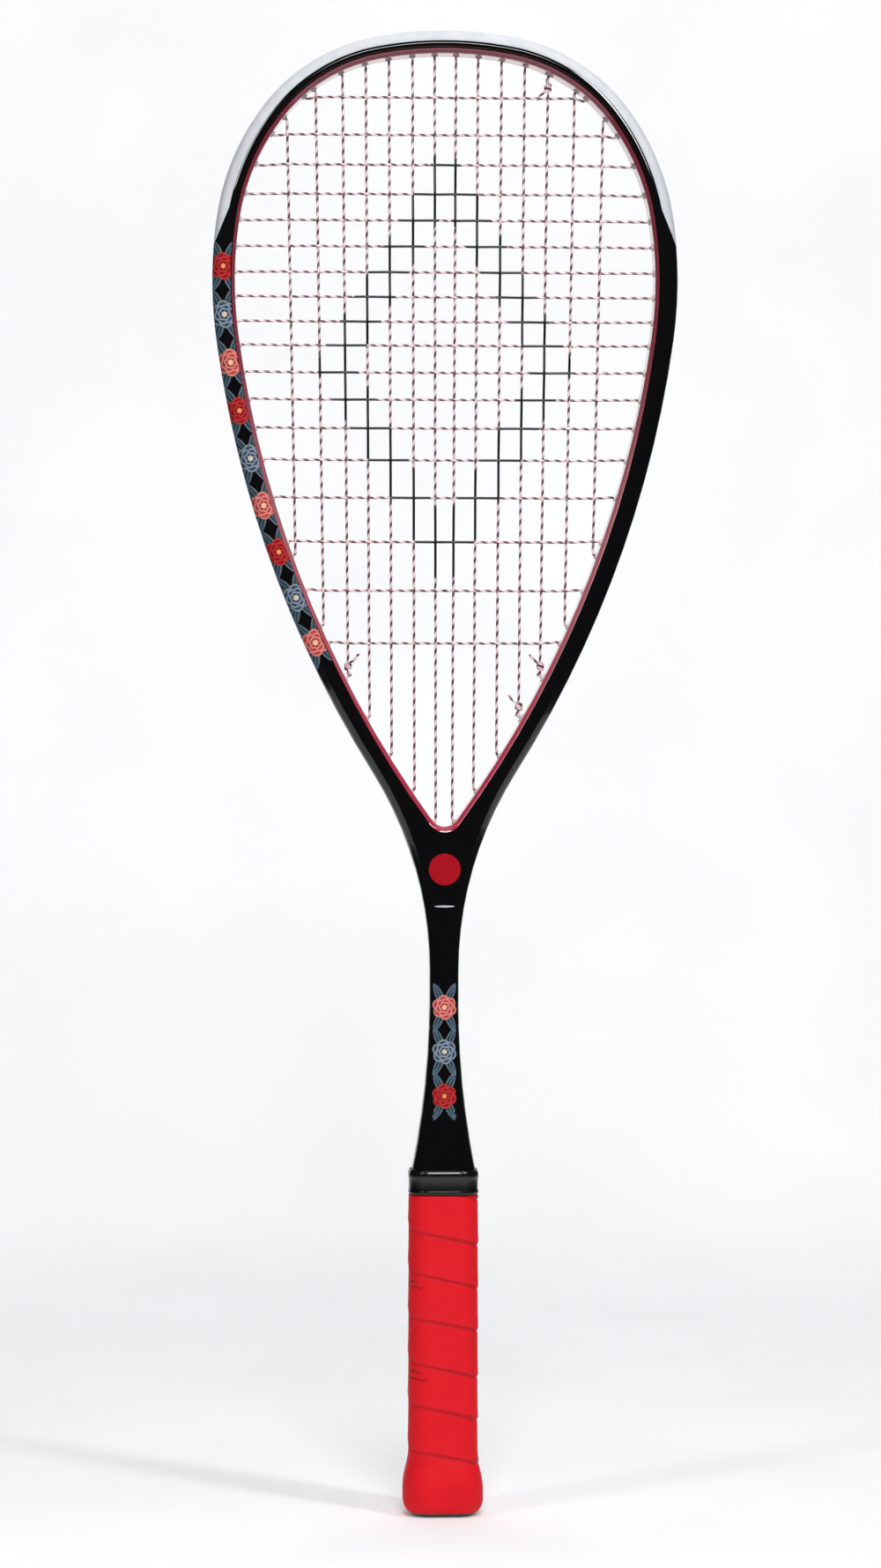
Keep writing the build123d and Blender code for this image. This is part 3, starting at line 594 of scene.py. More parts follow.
def grid_faces(rows: int, columns: int, closed: bool,
               looped: bool = False) -> list[tuple[int, int, int, int]]:
    """Quads of a grid of vertices, row by row.

    Args:
        rows: number of rows.
        columns: vertices in a row.
        closed: whether each row joins its own start.
        looped: whether the last row joins the first.

    Returns:
        Four vertex numbers for each quad.
    """
    faces = []
    for row in range(rows if looped else rows - 1):
        above = (row + 1) % rows
        for column in range(columns if closed else columns - 1):
            after = (column + 1) % columns
            faces.append((row * columns + column, row * columns + after,
                          above * columns + after, above * columns + column))
    return faces


def turn_outwards(piece: bpy.types.Object) -> None:
    """Make a closed mesh's faces point outwards.

    Args:
        piece: the piece to put right.
    """
    work = bmesh.new()
    work.from_mesh(piece.data)
    bmesh.ops.recalc_face_normals(work, faces=work.faces)
    work.to_mesh(piece.data)
    work.free()


def add_values(piece: bpy.types.Object, name: str, values: np.ndarray) -> None:
    """Store one number for each vertex."""
    layer = piece.data.attributes.new(name, "FLOAT", "POINT")
    layer.data.foreach_set("value", np.ascontiguousarray(values, dtype=np.float32))


def add_colours(piece: bpy.types.Object, name: str, colours: np.ndarray) -> None:
    """Store one linear colour for each vertex.

    Args:
        piece: the piece that takes them.
        name: the attribute's name.
        colours: a row of red, green and blue for each vertex.
    """
    layer = piece.data.attributes.new(name, "FLOAT_COLOR", "POINT")
    rgba = np.ones((len(colours), 4), dtype=np.float32)
    rgba[:, :3] = colours
    layer.data.foreach_set("color", rgba.ravel())


def string_tree() -> bpy.types.NodeTree:
    """Geometry nodes that sweep a round section along a curve and mark how far along and round it is.

    Returns:
        The tree, with Diameter, Sides and Material as its named inputs.
    """
    tree = bpy.data.node_groups.new("string_sweep", "GeometryNodeTree")
    sockets = (("Geometry", "INPUT", "NodeSocketGeometry"), ("Diameter", "INPUT", "NodeSocketFloat"),
               ("Sides", "INPUT", "NodeSocketInt"), ("Material", "INPUT", "NodeSocketMaterial"),
               ("Geometry", "OUTPUT", "NodeSocketGeometry"))
    for name, way, kind in sockets:
        tree.interface.new_socket(name, in_out=way, socket_type=kind)
    given = add_node(tree, "NodeGroupInput")
    spline = add_node(tree, "GeometryNodeSplineParameter")
    path = add_node(tree, "GeometryNodeStoreNamedAttribute",
                    {"data_type": "FLOAT", "domain": "POINT", "Name": "along"},
                    {"Geometry": given.outputs["Geometry"], "Value": spline.outputs["Length"]})
    half = add_node(tree, "ShaderNodeMath", {"operation": "MULTIPLY", 1: 0.5},
                    {0: given.outputs["Diameter"]})
    circle = add_node(tree, "GeometryNodeCurvePrimitiveCircle", {},
                      {"Resolution": given.outputs["Sides"], "Radius": half.outputs[0]})
    spot = add_node(tree, "GeometryNodeInputPosition")
    unit = add_node(tree, "ShaderNodeVectorMath", {"operation": "NORMALIZE"}, {0: spot.outputs[0]})
    section = add_node(tree, "GeometryNodeStoreNamedAttribute",
                       {"data_type": "FLOAT_VECTOR", "domain": "POINT", "Name": "round"},
                       {"Geometry": circle.outputs["Curve"], "Value": unit.outputs[0]})
    swept = add_node(tree, "GeometryNodeCurveToMesh", {"Fill Caps": True},
                     {"Curve": path.outputs[0], "Profile Curve": section.outputs[0]})
    shaded = add_node(tree, "GeometryNodeSetShadeSmooth", {}, {"Geometry": swept.outputs[0]})
    real = add_node(tree, "GeometryNodeRealizeInstances", {}, {"Geometry": shaded.outputs[0]})
    dressed = add_node(tree, "GeometryNodeSetMaterial", {},
                       {"Geometry": real.outputs[0], "Material": given.outputs["Material"]})
    add_node(tree, "NodeGroupOutput", {}, {"Geometry": dressed.outputs[0]})
    return tree


def swept_piece(name: str, points: Iterable[Vector], diameter: float, sides: int,
                material: bpy.types.Material, tree: bpy.types.NodeTree) -> bpy.types.Object:
    """A round string along points, made by the sweep tree and turned into a plain mesh.

    Args:
        name: the piece's name.
        points: the path in metres.
        diameter: the string's diameter in metres.
        sides: faces round the section.
        material: its finish.
        tree: the sweep's geometry nodes.

    Returns:
        The new mesh object.
    """
    places = list(points)
    curve = bpy.data.curves.new(name + "_path", "CURVE")
    curve.dimensions = "3D"
    spline = curve.splines.new("POLY")
    spline.points.add(len(places) - 1)
    for spot, place in zip(spline.points, places):
        spot.co = (*place, 1.0)
    guide = bpy.data.objects.new(name + "_guide", curve)
    bpy.context.scene.collection.objects.link(guide)
    modifier = guide.modifiers.new("sweep", "NODES")
    modifier.node_group = tree
    values = {"Diameter": diameter, "Sides": sides, "Material": material}
    for item in tree.interface.items_tree:
        if item.item_type == "SOCKET" and item.in_out == "INPUT" and item.name in values:
            modifier[item.identifier] = values[item.name]
    graph = bpy.context.evaluated_depsgraph_get()
    mesh = bpy.data.meshes.new_from_object(guide.evaluated_get(graph))
    mesh.name = name
    bpy.data.objects.remove(guide)
    piece = bpy.data.objects.new(name, mesh)
    bpy.context.scene.collection.objects.link(piece)
    if not mesh.materials:
        mesh.materials.append(material)
    return piece


# ---------------------------------------------------------------- strings

@dataclass
class Hole:
    """A string hole square to the inner wall, on one side of the head."""

    outline: HeadOutline
    side: int
    turn: float
    exit: float = 0.0
    loop_inset: float = 0.85

    def __post_init__(self) -> None:
        """Find where the hole comes out."""
        angle = math.radians(self.turn)
        x0, z0 = self.outline.inside_at(self.turn, self.outline.wall)

        def off_axis(length: float) -> float:
            """Distance of the outside's point from the hole's axis."""
            x, z, _ = self.outline.outside_at(length, self.loop_inset)
            return math.sin(angle) * (z - z0) - math.cos(angle) * (x - x0)

        self.exit = solve(off_axis, 0.0, self.outline.total())

    def inner(self, inset: float, y: float = 0.0) -> Vector:
        """A point of the hole at an inset from the hoop's outline, in millimetres."""
        x, z = self.outline.inside_at(self.turn, inset)
        return Vector((self.side * x, y, z))

    def outer(self, inset: float, y: float = 0.0, shift: float = 0.0) -> Vector:
        """A point in the groove, shifted along it from the hole, in millimetres."""
        x, z, _ = self.outline.outside_at(self.exit + shift, inset)
        return Vector((self.side * x, y, z))


@dataclass
class StringBed:
    """Two lengths of string laced through the head: 14 mains and 18 crosses, woven over and under."""

    outline: HeadOutline
    diameter: float = 1.2
    mains_at_tip: tuple = (5.0, 15.3, 26.3, 37.2, 48.2, 60.8, 74.3)
    mains_at_throat: tuple = (4.9, 15.0, 25.6, 35.9, 45.9, 57.3, 70.4)
    first_cross_drop: float = 30.2
    cross_gaps: tuple = (17.2, 13.8, 13.5, 12.1, 12.0, 11.9, 11.4, 11.4, 11.0, 12.5, 12.5, 13.2, 14.7,
                         17.4, 20.4, 22.5, 24.3)
    weave: float = 0.72
    bend_inset: float = 12.1
    mouth_inset: float = 11.2
    loop_inset: float = 0.85
    loop_lane: float = 1.3
    tie_lane: float = 2.55
    tie_share: float = 0.65
    loop_lead: float = 3.0
    tie_lead: float = 8.0
    room: float = 2.4
    knot_rise: float = 4.6
    knot_turns: float = 2.6
    hole_radius: float = 1.0
    crossing_radius: float = 8.0
    exit_radius: float = 4.0
    lane_radius: float = 15.0
    lane_step: float = 14.0
    knot_steps: int = 14
    knot_reach: float = 1.08
    knot_pitch: float = 0.95
    arc_steps: int = 5
    sides: int = 10

    def __post_init__(self) -> None:
        """Place the holes of every main and cross."""
        self.half = len(self.mains_at_tip)
        self.mains = 2 * self.half
        top = CAD_BOX[1][2] / MM
        self.heights = [top - self.first_cross_drop - sum(self.cross_gaps[:i])
                        for i in range(len(self.cross_gaps) + 1)]
        self.tip = [self.main_hole(i, self.mains_at_tip, 0.0, 90.0) for i in range(self.mains)]
        self.throat = [self.main_hole(i, self.mains_at_throat, 90.0, 170.0) for i in range(self.mains)]
        self.ends = {side: [self.cross_hole(side, z) for z in self.heights] for side in (-1, 1)}
        self.tied_main = (2, self.mains - 3)
        self.tied_tip = self.mains - 3
        self.tied_throat = self.mains - 4

    def main_hole(self, index: int, places: tuple, low: float, high: float) -> Hole:
        """The hole of a main string, counted from the left, at the tip or the throat.

        Args:
            index: which main, from the left.
            places: distances of half the mains from the middle.
            low: least turn of the outline to search.
            high: greatest turn to search.

        Returns:
            The hole.
        """
        side = -1 if index < self.half else 1
        width = places[self.half - 1 - index] if side < 0 else places[index - self.half]
        wall = self.outline.wall
        turn = solve(lambda t: self.outline.inside_at(t, wall)[0] - width, low, high)
        return Hole(self.outline, side, turn)

    def cross_hole(self, side: int, height: float) -> Hole:
        """The hole of a cross string."""
        wall = self.outline.wall
        turn = solve(lambda t: self.outline.inside_at(t, wall)[1] - height, 0.0, 170.0)
        return Hole(self.outline, side, turn)

    def main_x(self, index: int, height: float) -> float:
        """Where a main string crosses a height."""
        top, bottom = self.tip[index].inner(self.bend_inset), self.throat[index].inner(self.bend_inset)
        share = (height - bottom.z) / (top.z - bottom.z)
        return bottom.x + (top.x - bottom.x) * share

    def lift(self, main: int, cross: int) -> float:
        """How far a main stands behind the bed's middle where it passes a cross."""
        return self.weave * (-1) ** (main + cross)

    def crosses_met(self, index: int) -> list[int]:
        """The crosses that a main passes, from the tip down."""
        top = self.tip[index].inner(self.bend_inset).z - self.room
        bottom = self.throat[index].inner(self.bend_inset).z + self.room
        return [i for i, z in enumerate(self.heights) if bottom < z < top]

    def mains_met(self, index: int) -> list[int]:
        """The mains that a cross passes, from the left."""
        left = self.ends[-1][index].inner(self.bend_inset).x + self.room
        right = self.ends[1][index].inner(self.bend_inset).x - self.room
        return [i for i in range(self.mains) if left < self.main_x(i, self.heights[index]) < right]

    def through(self, hole: Hole, share: float, weave: float) -> list[tuple[Vector, float]]:
        """Corners and radii of a string that goes from the bed out through a hole."""
        places = (hole.inner(self.bend_inset, weave), hole.inner(self.mouth_inset, share),
                  hole.outer(self.loop_inset, share))
        return [(place, self.hole_radius) for place in places]

    def tied_end(self, hole: Hole, share: float) -> list[tuple[Vector, float]]:
        """Corners and radii of a tied end, from the knot's side out to the groove."""
        places = (hole.inner(self.mouth_inset + 1, share), hole.outer(self.loop_inset, share))
        return [(place, self.hole_radius) for place in places]

    def run(self, first: Hole, last: Hole, lane: float, leads: tuple) -> list[tuple[Vector, float]]:
        """Corners and radii of a string in the groove between two holes.

        Args:
            first: the hole it comes out of.
            last: the hole it goes into.
            lane: its Y in the groove.
            leads: room it keeps from each of the two holes.

        Returns:
            Corners with the radius that rounds each.
        """
        way = 1 if last.exit > first.exit else -1
        length = abs(last.exit - first.exit) - sum(leads)
        if first.side != last.side:
            length = first.exit + last.exit - sum(leads)
        pieces = max(1, math.ceil(length / self.lane_step))
        corners = []
        for i in range(pieces + 1):
            shift = leads[0] + length * i / pieces
            if first.side == last.side:
                place = first.outer(self.loop_inset, lane, way * shift)
            elif shift < first.exit:
                place = first.outer(self.loop_inset, lane, -shift)
            else:
                place = last.outer(self.loop_inset, lane, first.exit - shift)
            corners.append((place, self.exit_radius if i in (0, pieces) else self.lane_radius))
        return corners

    def main_corners(self) -> list[tuple[Vector, float]]:
        """The whole route of the mains, from one tied end to the other.

        Returns:
            Corners with the radius that rounds each.
        """
        first, last = self.throat[self.tied_main[0]], self.throat[self.tied_main[1]]
        long_leads = (self.tie_lead, self.tie_lead)
        corners = self.tied_end(first, -self.tie_share)
        corners += self.run(first, self.throat[0], -self.tie_lane, long_leads)
        for index in range(self.mains):
            corners += self.one_main(index)
            if index == self.mains - 1:
                break
            holes = self.throat if index % 2 == 1 else self.tip
            leads = tuple(self.tie_lead if holes is self.throat and i in self.tied_main
                          else self.loop_lead for i in (index, index + 1))
            corners += self.run(holes[index], holes[index + 1], -self.loop_lane, leads)
        corners += self.run(self.throat[-1], last, -self.tie_lane, long_leads)
        return corners + self.tied_end(last, -self.tie_share)[::-1]

    def one_main(self, index: int) -> list[tuple[Vector, float]]:
        """One main with both its holes. Odd ones, counted from 0, run down.

        Args:
            index: which main, from the left.

        Returns:
            Corners with the radius that rounds each.
        """
        met = self.crosses_met(index)
        tip_share = -self.tie_share if index == self.tied_tip else 0.0
        throat_share = self.tie_share if index in self.tied_main else 0.0
        if index == self.tied_throat:
            throat_share = -self.tie_share
        top = self.kept_side(tip_share, self.lift(index, met[0] - 1))
        bottom = self.kept_side(throat_share, self.lift(index, met[-1] + 1))
        down = list(reversed(self.through(self.tip[index], tip_share, top)))
        for i in met:
            place = Vector((self.main_x(index, self.heights[i]), self.lift(index, i), self.heights[i]))
            down.append((place, self.crossing_radius))
        down += self.through(self.throat[index], throat_share, bottom)
        return down if index % 2 == 1 else list(reversed(down))

    def kept_side(self, share: float, weave: float) -> float:
        """In a hole with a tied-off end, a string keeps to its own side of the hole."""
        return math.copysign(self.weave, share) if share else weave

    def cross_corners(self) -> list[tuple[Vector, float]]:
        """The whole route of the crosses, from one tied end to the other.

        Returns:
            Corners with the radius that rounds each.
        """
        first, last = self.tip[self.tied_tip], self.throat[self.tied_throat]
        short_leads = (self.loop_lead, self.loop_lead)
        corners = self.tied_end(first, self.tie_share)
        corners += self.run(first, self.ends[1][0], self.loop_lane, short_leads)
        count = len(self.heights)
        for index in range(count):
            corners += self.one_cross(index)
            if index < count - 1:
                holes = self.ends[-1 if index % 2 == 0 else 1]
                corners += self.run(holes[index], holes[index + 1], self.loop_lane, short_leads)
        corners += self.run(self.ends[1][-1], last, self.tie_lane, (self.tie_lead, self.tie_lead))
        return corners + self.tied_end(last, self.tie_share)[::-1]

    def one_cross(self, index: int) -> list[tuple[Vector, float]]:
        """One cross with both its holes. Even ones, counted from 0, run from right to left.

        Args:
            index: which cross, from the tip down.

        Returns:
            Corners with the radius that rounds each.
        """
        met = self.mains_met(index)
        height = self.heights[index]
        left = -self.lift(met[0] - 1, index)
        right = -self.lift(met[-1] + 1, index)
        across = list(reversed(self.through(self.ends[-1][index], 0.0, left)))
        across += [(Vector((self.main_x(i, height), -self.lift(i, index), height)), self.crossing_radius)
                   for i in met]
        across += self.through(self.ends[1][index], 0.0, right)
        return across if index % 2 == 1 else list(reversed(across))

    def smooth(self, corners: list[tuple[Vector, float]]) -> list[Vector]:
        """Round the corners of a route with arcs, and turn it into metres.

        Args:
            corners: places in millimetres with the radius that rounds each.

        Returns:
            Places along the route, in metres.
        """
        path = [corners[0][0]]
        for (before, _), (corner, radius), (after, _) in zip(corners, corners[1:], corners[2:]):
            into, out = (corner - before).normalized(), (after - corner).normalized()
            half = into.angle(out) / 2
            if half < 1e-4:
                path.append(corner)
                continue
            setback = min(radius * math.tan(half), 0.45 * (corner - before).length,
                          0.45 * (after - corner).length)
            bend = setback / math.tan(half)
            middle = (out - into).normalized()
            centre = corner + middle * (bend / math.cos(half))
            for i in range(self.arc_steps + 1):
                angle = half * (2 * i / self.arc_steps - 1)
                side = (into + out).normalized()
                path.append(centre - middle * (bend * math.cos(angle)) + side * (bend * math.sin(angle)))
        path.append(corners[-1][0])
        return [place * MM for place in path]

    def knot(self, hole: Hole, main: int, at_tip: bool, share: float) -> list[Vector]:
        """The path of a tied end: out of its hole, round the main string, and a short tail.

        Args:
            hole: the hole that the end comes out of.
            main: the main it is tied to.
            at_tip: whether the hole is at the tip.
            share: Y at which it passes through the hole.

        Returns:
            Places along the end, in metres.
        """
        way = -1 if at_tip else 1
        bend = hole.inner(self.bend_inset)
        middle_z = bend.z + way * self.knot_rise
        start = hole.inner(self.mouth_inset + 1, share)
        path = [start, start + (start - hole.inner(self.mouth_inset, share)) * 1.2]
        reach = self.diameter * self.knot_reach
        turns = int(self.knot_turns * self.knot_steps)
        sign = math.copysign(1, share)
        for i in range(turns + 1):
            angle = math.tau * i / self.knot_steps
            wound = i / self.knot_steps - self.knot_turns / 2
            z = middle_z + way * wound * self.diameter * self.knot_pitch
            centre_x = self.main_x(main, z)
            path.append(Vector((centre_x + reach * math.sin(angle) * hole.side,
                                sign * reach * math.cos(angle), z)))
        end = path[-1]
        out = Vector((-hole.side * 1.0, sign * 0.4, way * 0.55)).normalized()
        path += [end + out * 1.2, end + out * 3.4 + Vector((0, 0, way * 0.6)),
                 end + out * 5.4 + Vector((0, 0, way * 1.8))]
        return [place * MM for place in path]

    def build(self) -> None:
        """Make the strings and the knots, and put them in place of their CAD nodes."""
        tree = string_tree()
        material = TracedString().material()
        for name, node, corners in (("main_string_laced", "main_string", self.main_corners()),
                                    ("cross_string_laced", "cross_string", self.cross_corners())):
            piece = swept_piece(name, self.smooth(corners), self.diameter * MM, self.sides, material, tree)
            dress(piece, "string", node)
        ties = [("main", self.throat[i], i, False, -self.tie_share) for i in self.tied_main]
        ties.append(("cross", self.tip[self.tied_tip], self.tied_tip, True, self.tie_share))
        ties.append(("cross", self.throat[self.tied_throat], self.tied_throat, False, self.tie_share))
        for kind in ("main", "cross"):
            knots = [self.knot(*tie[1:]) for tie in ties if tie[0] == kind]
            pieces = [swept_piece(f"{kind}_knot_{i + 1}", path, self.diameter * MM, self.sides, material,
                                  tree) for i, path in enumerate(knots)]
            for piece in pieces:
                dress(piece, "string", f"{kind}_tie_offs")


def dress(piece: bpy.types.Object, slot: str, *nodes: str, body: str = ROOT_BODY) -> None:
    """Put a piece on its body and let it stand for CAD nodes.

    Args:
        piece: the new piece.
        slot: the material slot's name; not used.
        nodes: the CAD nodes that it replaces.
        body: the CAD body that it rides on.
    """
    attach(piece, body)
    if nodes:
        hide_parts(*nodes)
    log.info("%s: %d faces on %s", piece.name, len(piece.data.polygons), body)


# ---------------------------------------------------------------- printed flowers

class Tone(Enum):
    """Colours of the print."""

    BLACK = "08080a"
    LEAF = "16302a"
    WINE = "4f0810"
    RED = "a31420"
    CORAL = "cf4a45"
    BLUSH = "efb0a8"
    GOLD = "f2c266"
    SLATE = "37506a"
    MIST = "b4bfca"

    def linear(self) -> np.ndarray:
        """The tone as linear red, green and blue."""
        return np.array(srgb(self.value)[:3])


def between(first: Tone, second: Tone, share: np.ndarray) -> np.ndarray:
    """A linear colour part of the way from one tone to another."""
    return first.linear() + (second.linear() - first.linear()) * share


def soft(value: np.ndarray, low: float, high: float) -> np.ndarray:
    """A smooth step from 0 at low to 1 at high."""
    share = np.clip((value - low) / (high - low), 0, 1)
    return share * share * (3 - 2 * share)


@dataclass
class Rosette:
    """A round flower of scalloped rings, drawn in the plane of the face, in millimetres."""

    x: float
    z: float
    radius: float
    petals: int = 6
    rings: int = 3
    dark: Tone = Tone.WINE
    body: Tone = Tone.RED
    rim: Tone = Tone.CORAL
    heart: Tone = Tone.GOLD
    twist: float = 0.4
    scallop: float = 0.16

    def paint(self, x: np.ndarray, z: np.ndarray) -> tuple[np.ndarray, np.ndarray]:
        """How much of the flower covers each place, and its colour there.

        Args:
            x: places across.
            z: heights.

        Returns:
            Cover from 0 to 1, and a linear colour.
        """
        dx, dz = x - self.x, z - self.z
        reach, angle = np.hypot(dx, dz), np.arctan2(dx, dz)
        colour = np.zeros(x.shape + (3,))
        cover = np.zeros(x.shape)
        for ring in range(self.rings, -1, -1):
            size = self.radius * (0.22 + 0.78 * ring / self.rings)
            lobes = np.abs(np.cos(self.petals * (angle + self.twist * ring) / 2))
            edge = size * (1 - self.scallop + self.scallop * lobes)
            inside = 1 - soft(reach, edge - 0.25, edge + 0.15)
            depth = np.clip(reach / np.maximum(edge, 0.01), 0, 1)
            shade = between(self.dark, self.body, depth[..., None] ** 1.5)
            lip = soft(edge - reach, 1.0, 0.15)[..., None]
            shade = shade + (self.rim.linear() - shade) * lip * 0.75
            if ring == 0:
                shade = between(self.heart, self.rim, depth[..., None])
            colour = colour + (shade - colour) * inside[..., None]
            cover = np.maximum(cover, inside)
        return cover, colour


@dataclass
class Petal:
    """A single long petal or leaf with a shaded body and a light rim."""

    x: float
    z: float
    long: float
    wide: float
    lean: float
    body: Tone
    tip: Tone
    rim: Tone

    def paint(self, x: np.ndarray, z: np.ndarray) -> tuple[np.ndarray, np.ndarray]:
        """How much of the petal covers each place, and its colour there.

        Args:
            x: places across.
            z: heights.

        Returns:
            Cover from 0 to 1, and a linear colour.
        """
        angle = math.radians(self.lean)
        dx, dz = x - self.x, z - self.z
        along = dx * math.sin(angle) + dz * math.cos(angle)
        across = dx * math.cos(angle) - dz * math.sin(angle)
        share = np.clip(along / self.long, -1, 1)
        width = self.wide * np.sqrt(np.clip(1 - share ** 2, 0, 1)) * (1 - 0.25 * share)
        depth = np.abs(across) / np.maximum(width, 0.01)
        inside = (1 - soft(depth, 0.93, 1.05)) * (np.abs(along) < self.long)
        shade = between(self.body, self.tip, soft(share, -1, 1)[..., None])
        vein = 1 - soft(np.abs(across), 0.1, 0.35)
        lip = np.maximum(soft(depth, 0.72, 0.95), 0.35 * vein)[..., None]
        return inside, shade + (self.rim.linear() - shade) * lip * 0.6


def garland(places: list[tuple[float, float, float]], size: float) -> list:
    """A plain even repeat: round flowers in three colours in turn, each between four leaves.

    Args:
        places: x, height and the way onwards in degrees, one for each flower.
        size: a flower's radius in millimetres.

    Returns:
        Motifs, the lowest first.
    """
    blooms = (
        (Tone.WINE, Tone.RED, Tone.CORAL),
        (Tone.BLACK, Tone.SLATE, Tone.MIST),
        (Tone.WINE, Tone.CORAL, Tone.BLUSH),
    )
    leaves, flowers = [], []
    for number, (x, z, lean) in enumerate(places):
        for turn in (-24.0, 24.0, 156.0, 204.0):
            way = math.radians(lean + turn)
            leaves.append(Petal(x + 1.3 * size * math.sin(way), z + 1.3 * size * math.cos(way),
                                0.75 * size, 0.28 * size, lean + turn, Tone.LEAF, Tone.SLATE, Tone.MIST))
        dark, body, rim = blooms[number % len(blooms)]
        flowers.append(Rosette(x, z, size, dark=dark, body=body, rim=rim))
    return leaves + flowers


def printed(motifs: list, x: np.ndarray, z: np.ndarray) -> np.ndarray:
    """Paint motifs over black, the later ones on top.

    Args:
        motifs: what to paint.
        x: places across, in millimetres.
        z: heights, in millimetres.

    Returns:
        A linear colour for each place.
    """
    colour = np.broadcast_to(Tone.BLACK.linear(), x.shape + (3,)).copy()
    for motif in motifs:
        cover, shade = motif.paint(x, z)
        colour += (shade - colour) * cover[..., None]
    return colour


@dataclass
class HoopPrint:
    """The flower print on the front of the hoop's left side, a film that follows the lacquer."""

    outline: HeadOutline
    beam: float = 20.0
    outer_round: float = 4.5
    inner_round: float = 3.5
    groove_half: float = 3.3
    lift: float = 0.03
    step: float = 0.4
    top_z: float = 597.0
    bottom_z: float = 388.0
    guard_end: float = 585.0
    guard_slope: float = 2.4
    inner_sine: float = 0.40
    flower_size: float = 6.4
    flower_step: float = 21.0
    flower_inset: float = 5.0

    def profile(self) -> list[tuple[float, float]]:
        """Inset and Y across the section, from the groove round the front to the inner paint line.

        Returns:
            Pairs of inset and Y, in millimetres.
        """
        half, points = self.beam / 2, []
        flank = half - self.outer_round - self.groove_half
        for i in range(6):
            points.append((-self.lift, -self.groove_half - flank * i / 6))
        for i in range(19):
            angle = math.pi / 2 * i / 18
            reach = self.outer_round + self.lift
            points.append((self.outer_round - reach * math.cos(angle),
                           -(half - self.outer_round) - reach * math.sin(angle)))
        start, end = self.outer_round, self.outline.wall - self.inner_round
        for i in range(1, 7):
            points.append((start + (end - start) * i / 6, -half - self.lift))
        last = math.asin(self.inner_sine)
        for i in range(1, 5):
            angle = last * i / 4
            reach = self.inner_round + self.lift
            points.append((end + reach * math.sin(angle),
                           -(half - self.inner_round) - reach * math.cos(angle)))
        return points

    def motifs(self) -> list:
        """A garland that follows the band from the guard down to the leg at even steps.

        Returns:
            Motifs, the lowest first.
        """
        start, end = self.length_at(self.top_z - 20), self.length_at(self.bottom_z + 14)
        count = int((end - start) / self.flower_step)
        places = []
        for number in range(count + 1):
            length = start + (end - start) * number / count
            x, z, _ = self.outline.outside_at(length, self.flower_inset)
            next_x, next_z, _ = self.outline.outside_at(length + 1.0, self.flower_inset)
            places.append((-x, z, math.degrees(math.atan2(x - next_x, next_z - z))))
        return garland(places, self.flower_size)

    def length_at(self, height: float) -> float:
        """Length along the outside at which it comes down to a height."""
        return solve(lambda s: self.outline.outside_at(s, 0.0)[1] - height, 0.0, self.outline.total())

    def build(self, material: bpy.types.Material) -> None:
        """Make the film.

        Args:
            material: the film's finish.
        """
        section = self.profile()
        start, end = self.length_at(self.top_z + 4), self.length_at(self.bottom_z)
        rows = int((end - start) / self.step)
        places = []
        for row in range(rows + 1):
            length = start + (end - start) * row / rows
            for inset, y in section:
                x, z, _ = self.outline.outside_at(length, inset)
                places.append((-x, y, z))
        grid = np.array(places)
        grid[:, 0] = np.maximum(grid[:, 0], CAD_BOX[0][0] / MM)
        faces = grid_faces(rows + 1, len(section), closed=False)
        edge_x = CAD_BOX[1][0] / MM
        limit = self.guard_end - 0.1 + (grid[:, 0] + edge_x) * self.guard_slope
        limit = np.minimum(limit, self.top_z)
        hidden = grid[:, 2] > limit
        kept = [face for face in faces if not any(hidden[i] for i in face)]
        piece = mesh_object("hoop_flower_print", grid * MM, kept, material)
        add_colours(piece, "print", printed(self.motifs(), grid[:, 0], grid[:, 2]))
        tidy_loose(piece)
        face_outwards(piece, Vector((0, -1, 0)))
        dress(piece, "frame_lacquer")


def tidy_loose(piece: bpy.types.Object) -> None:
    """Remove vertices that no face uses.

    Args:
        piece: the piece to put right.
    """
    work = bmesh.new()
    work.from_mesh(piece.data)
    bmesh.ops.delete(work, geom=[v for v in work.verts if not v.link_faces], context="VERTS")
    work.to_mesh(piece.data)
    work.free()


def face_outwards(piece: bpy.types.Object, way: Vector) -> None:
    """Turn an open sheet's faces over if they point away from a direction.

    Args:
        piece: the sheet.
        way: the direction it should face.
    """
    total = Vector((0, 0, 0))
    for polygon in piece.data.polygons:
        total += polygon.normal * polygon.area
    if total.dot(way) < 0:
        piece.data.flip_normals()


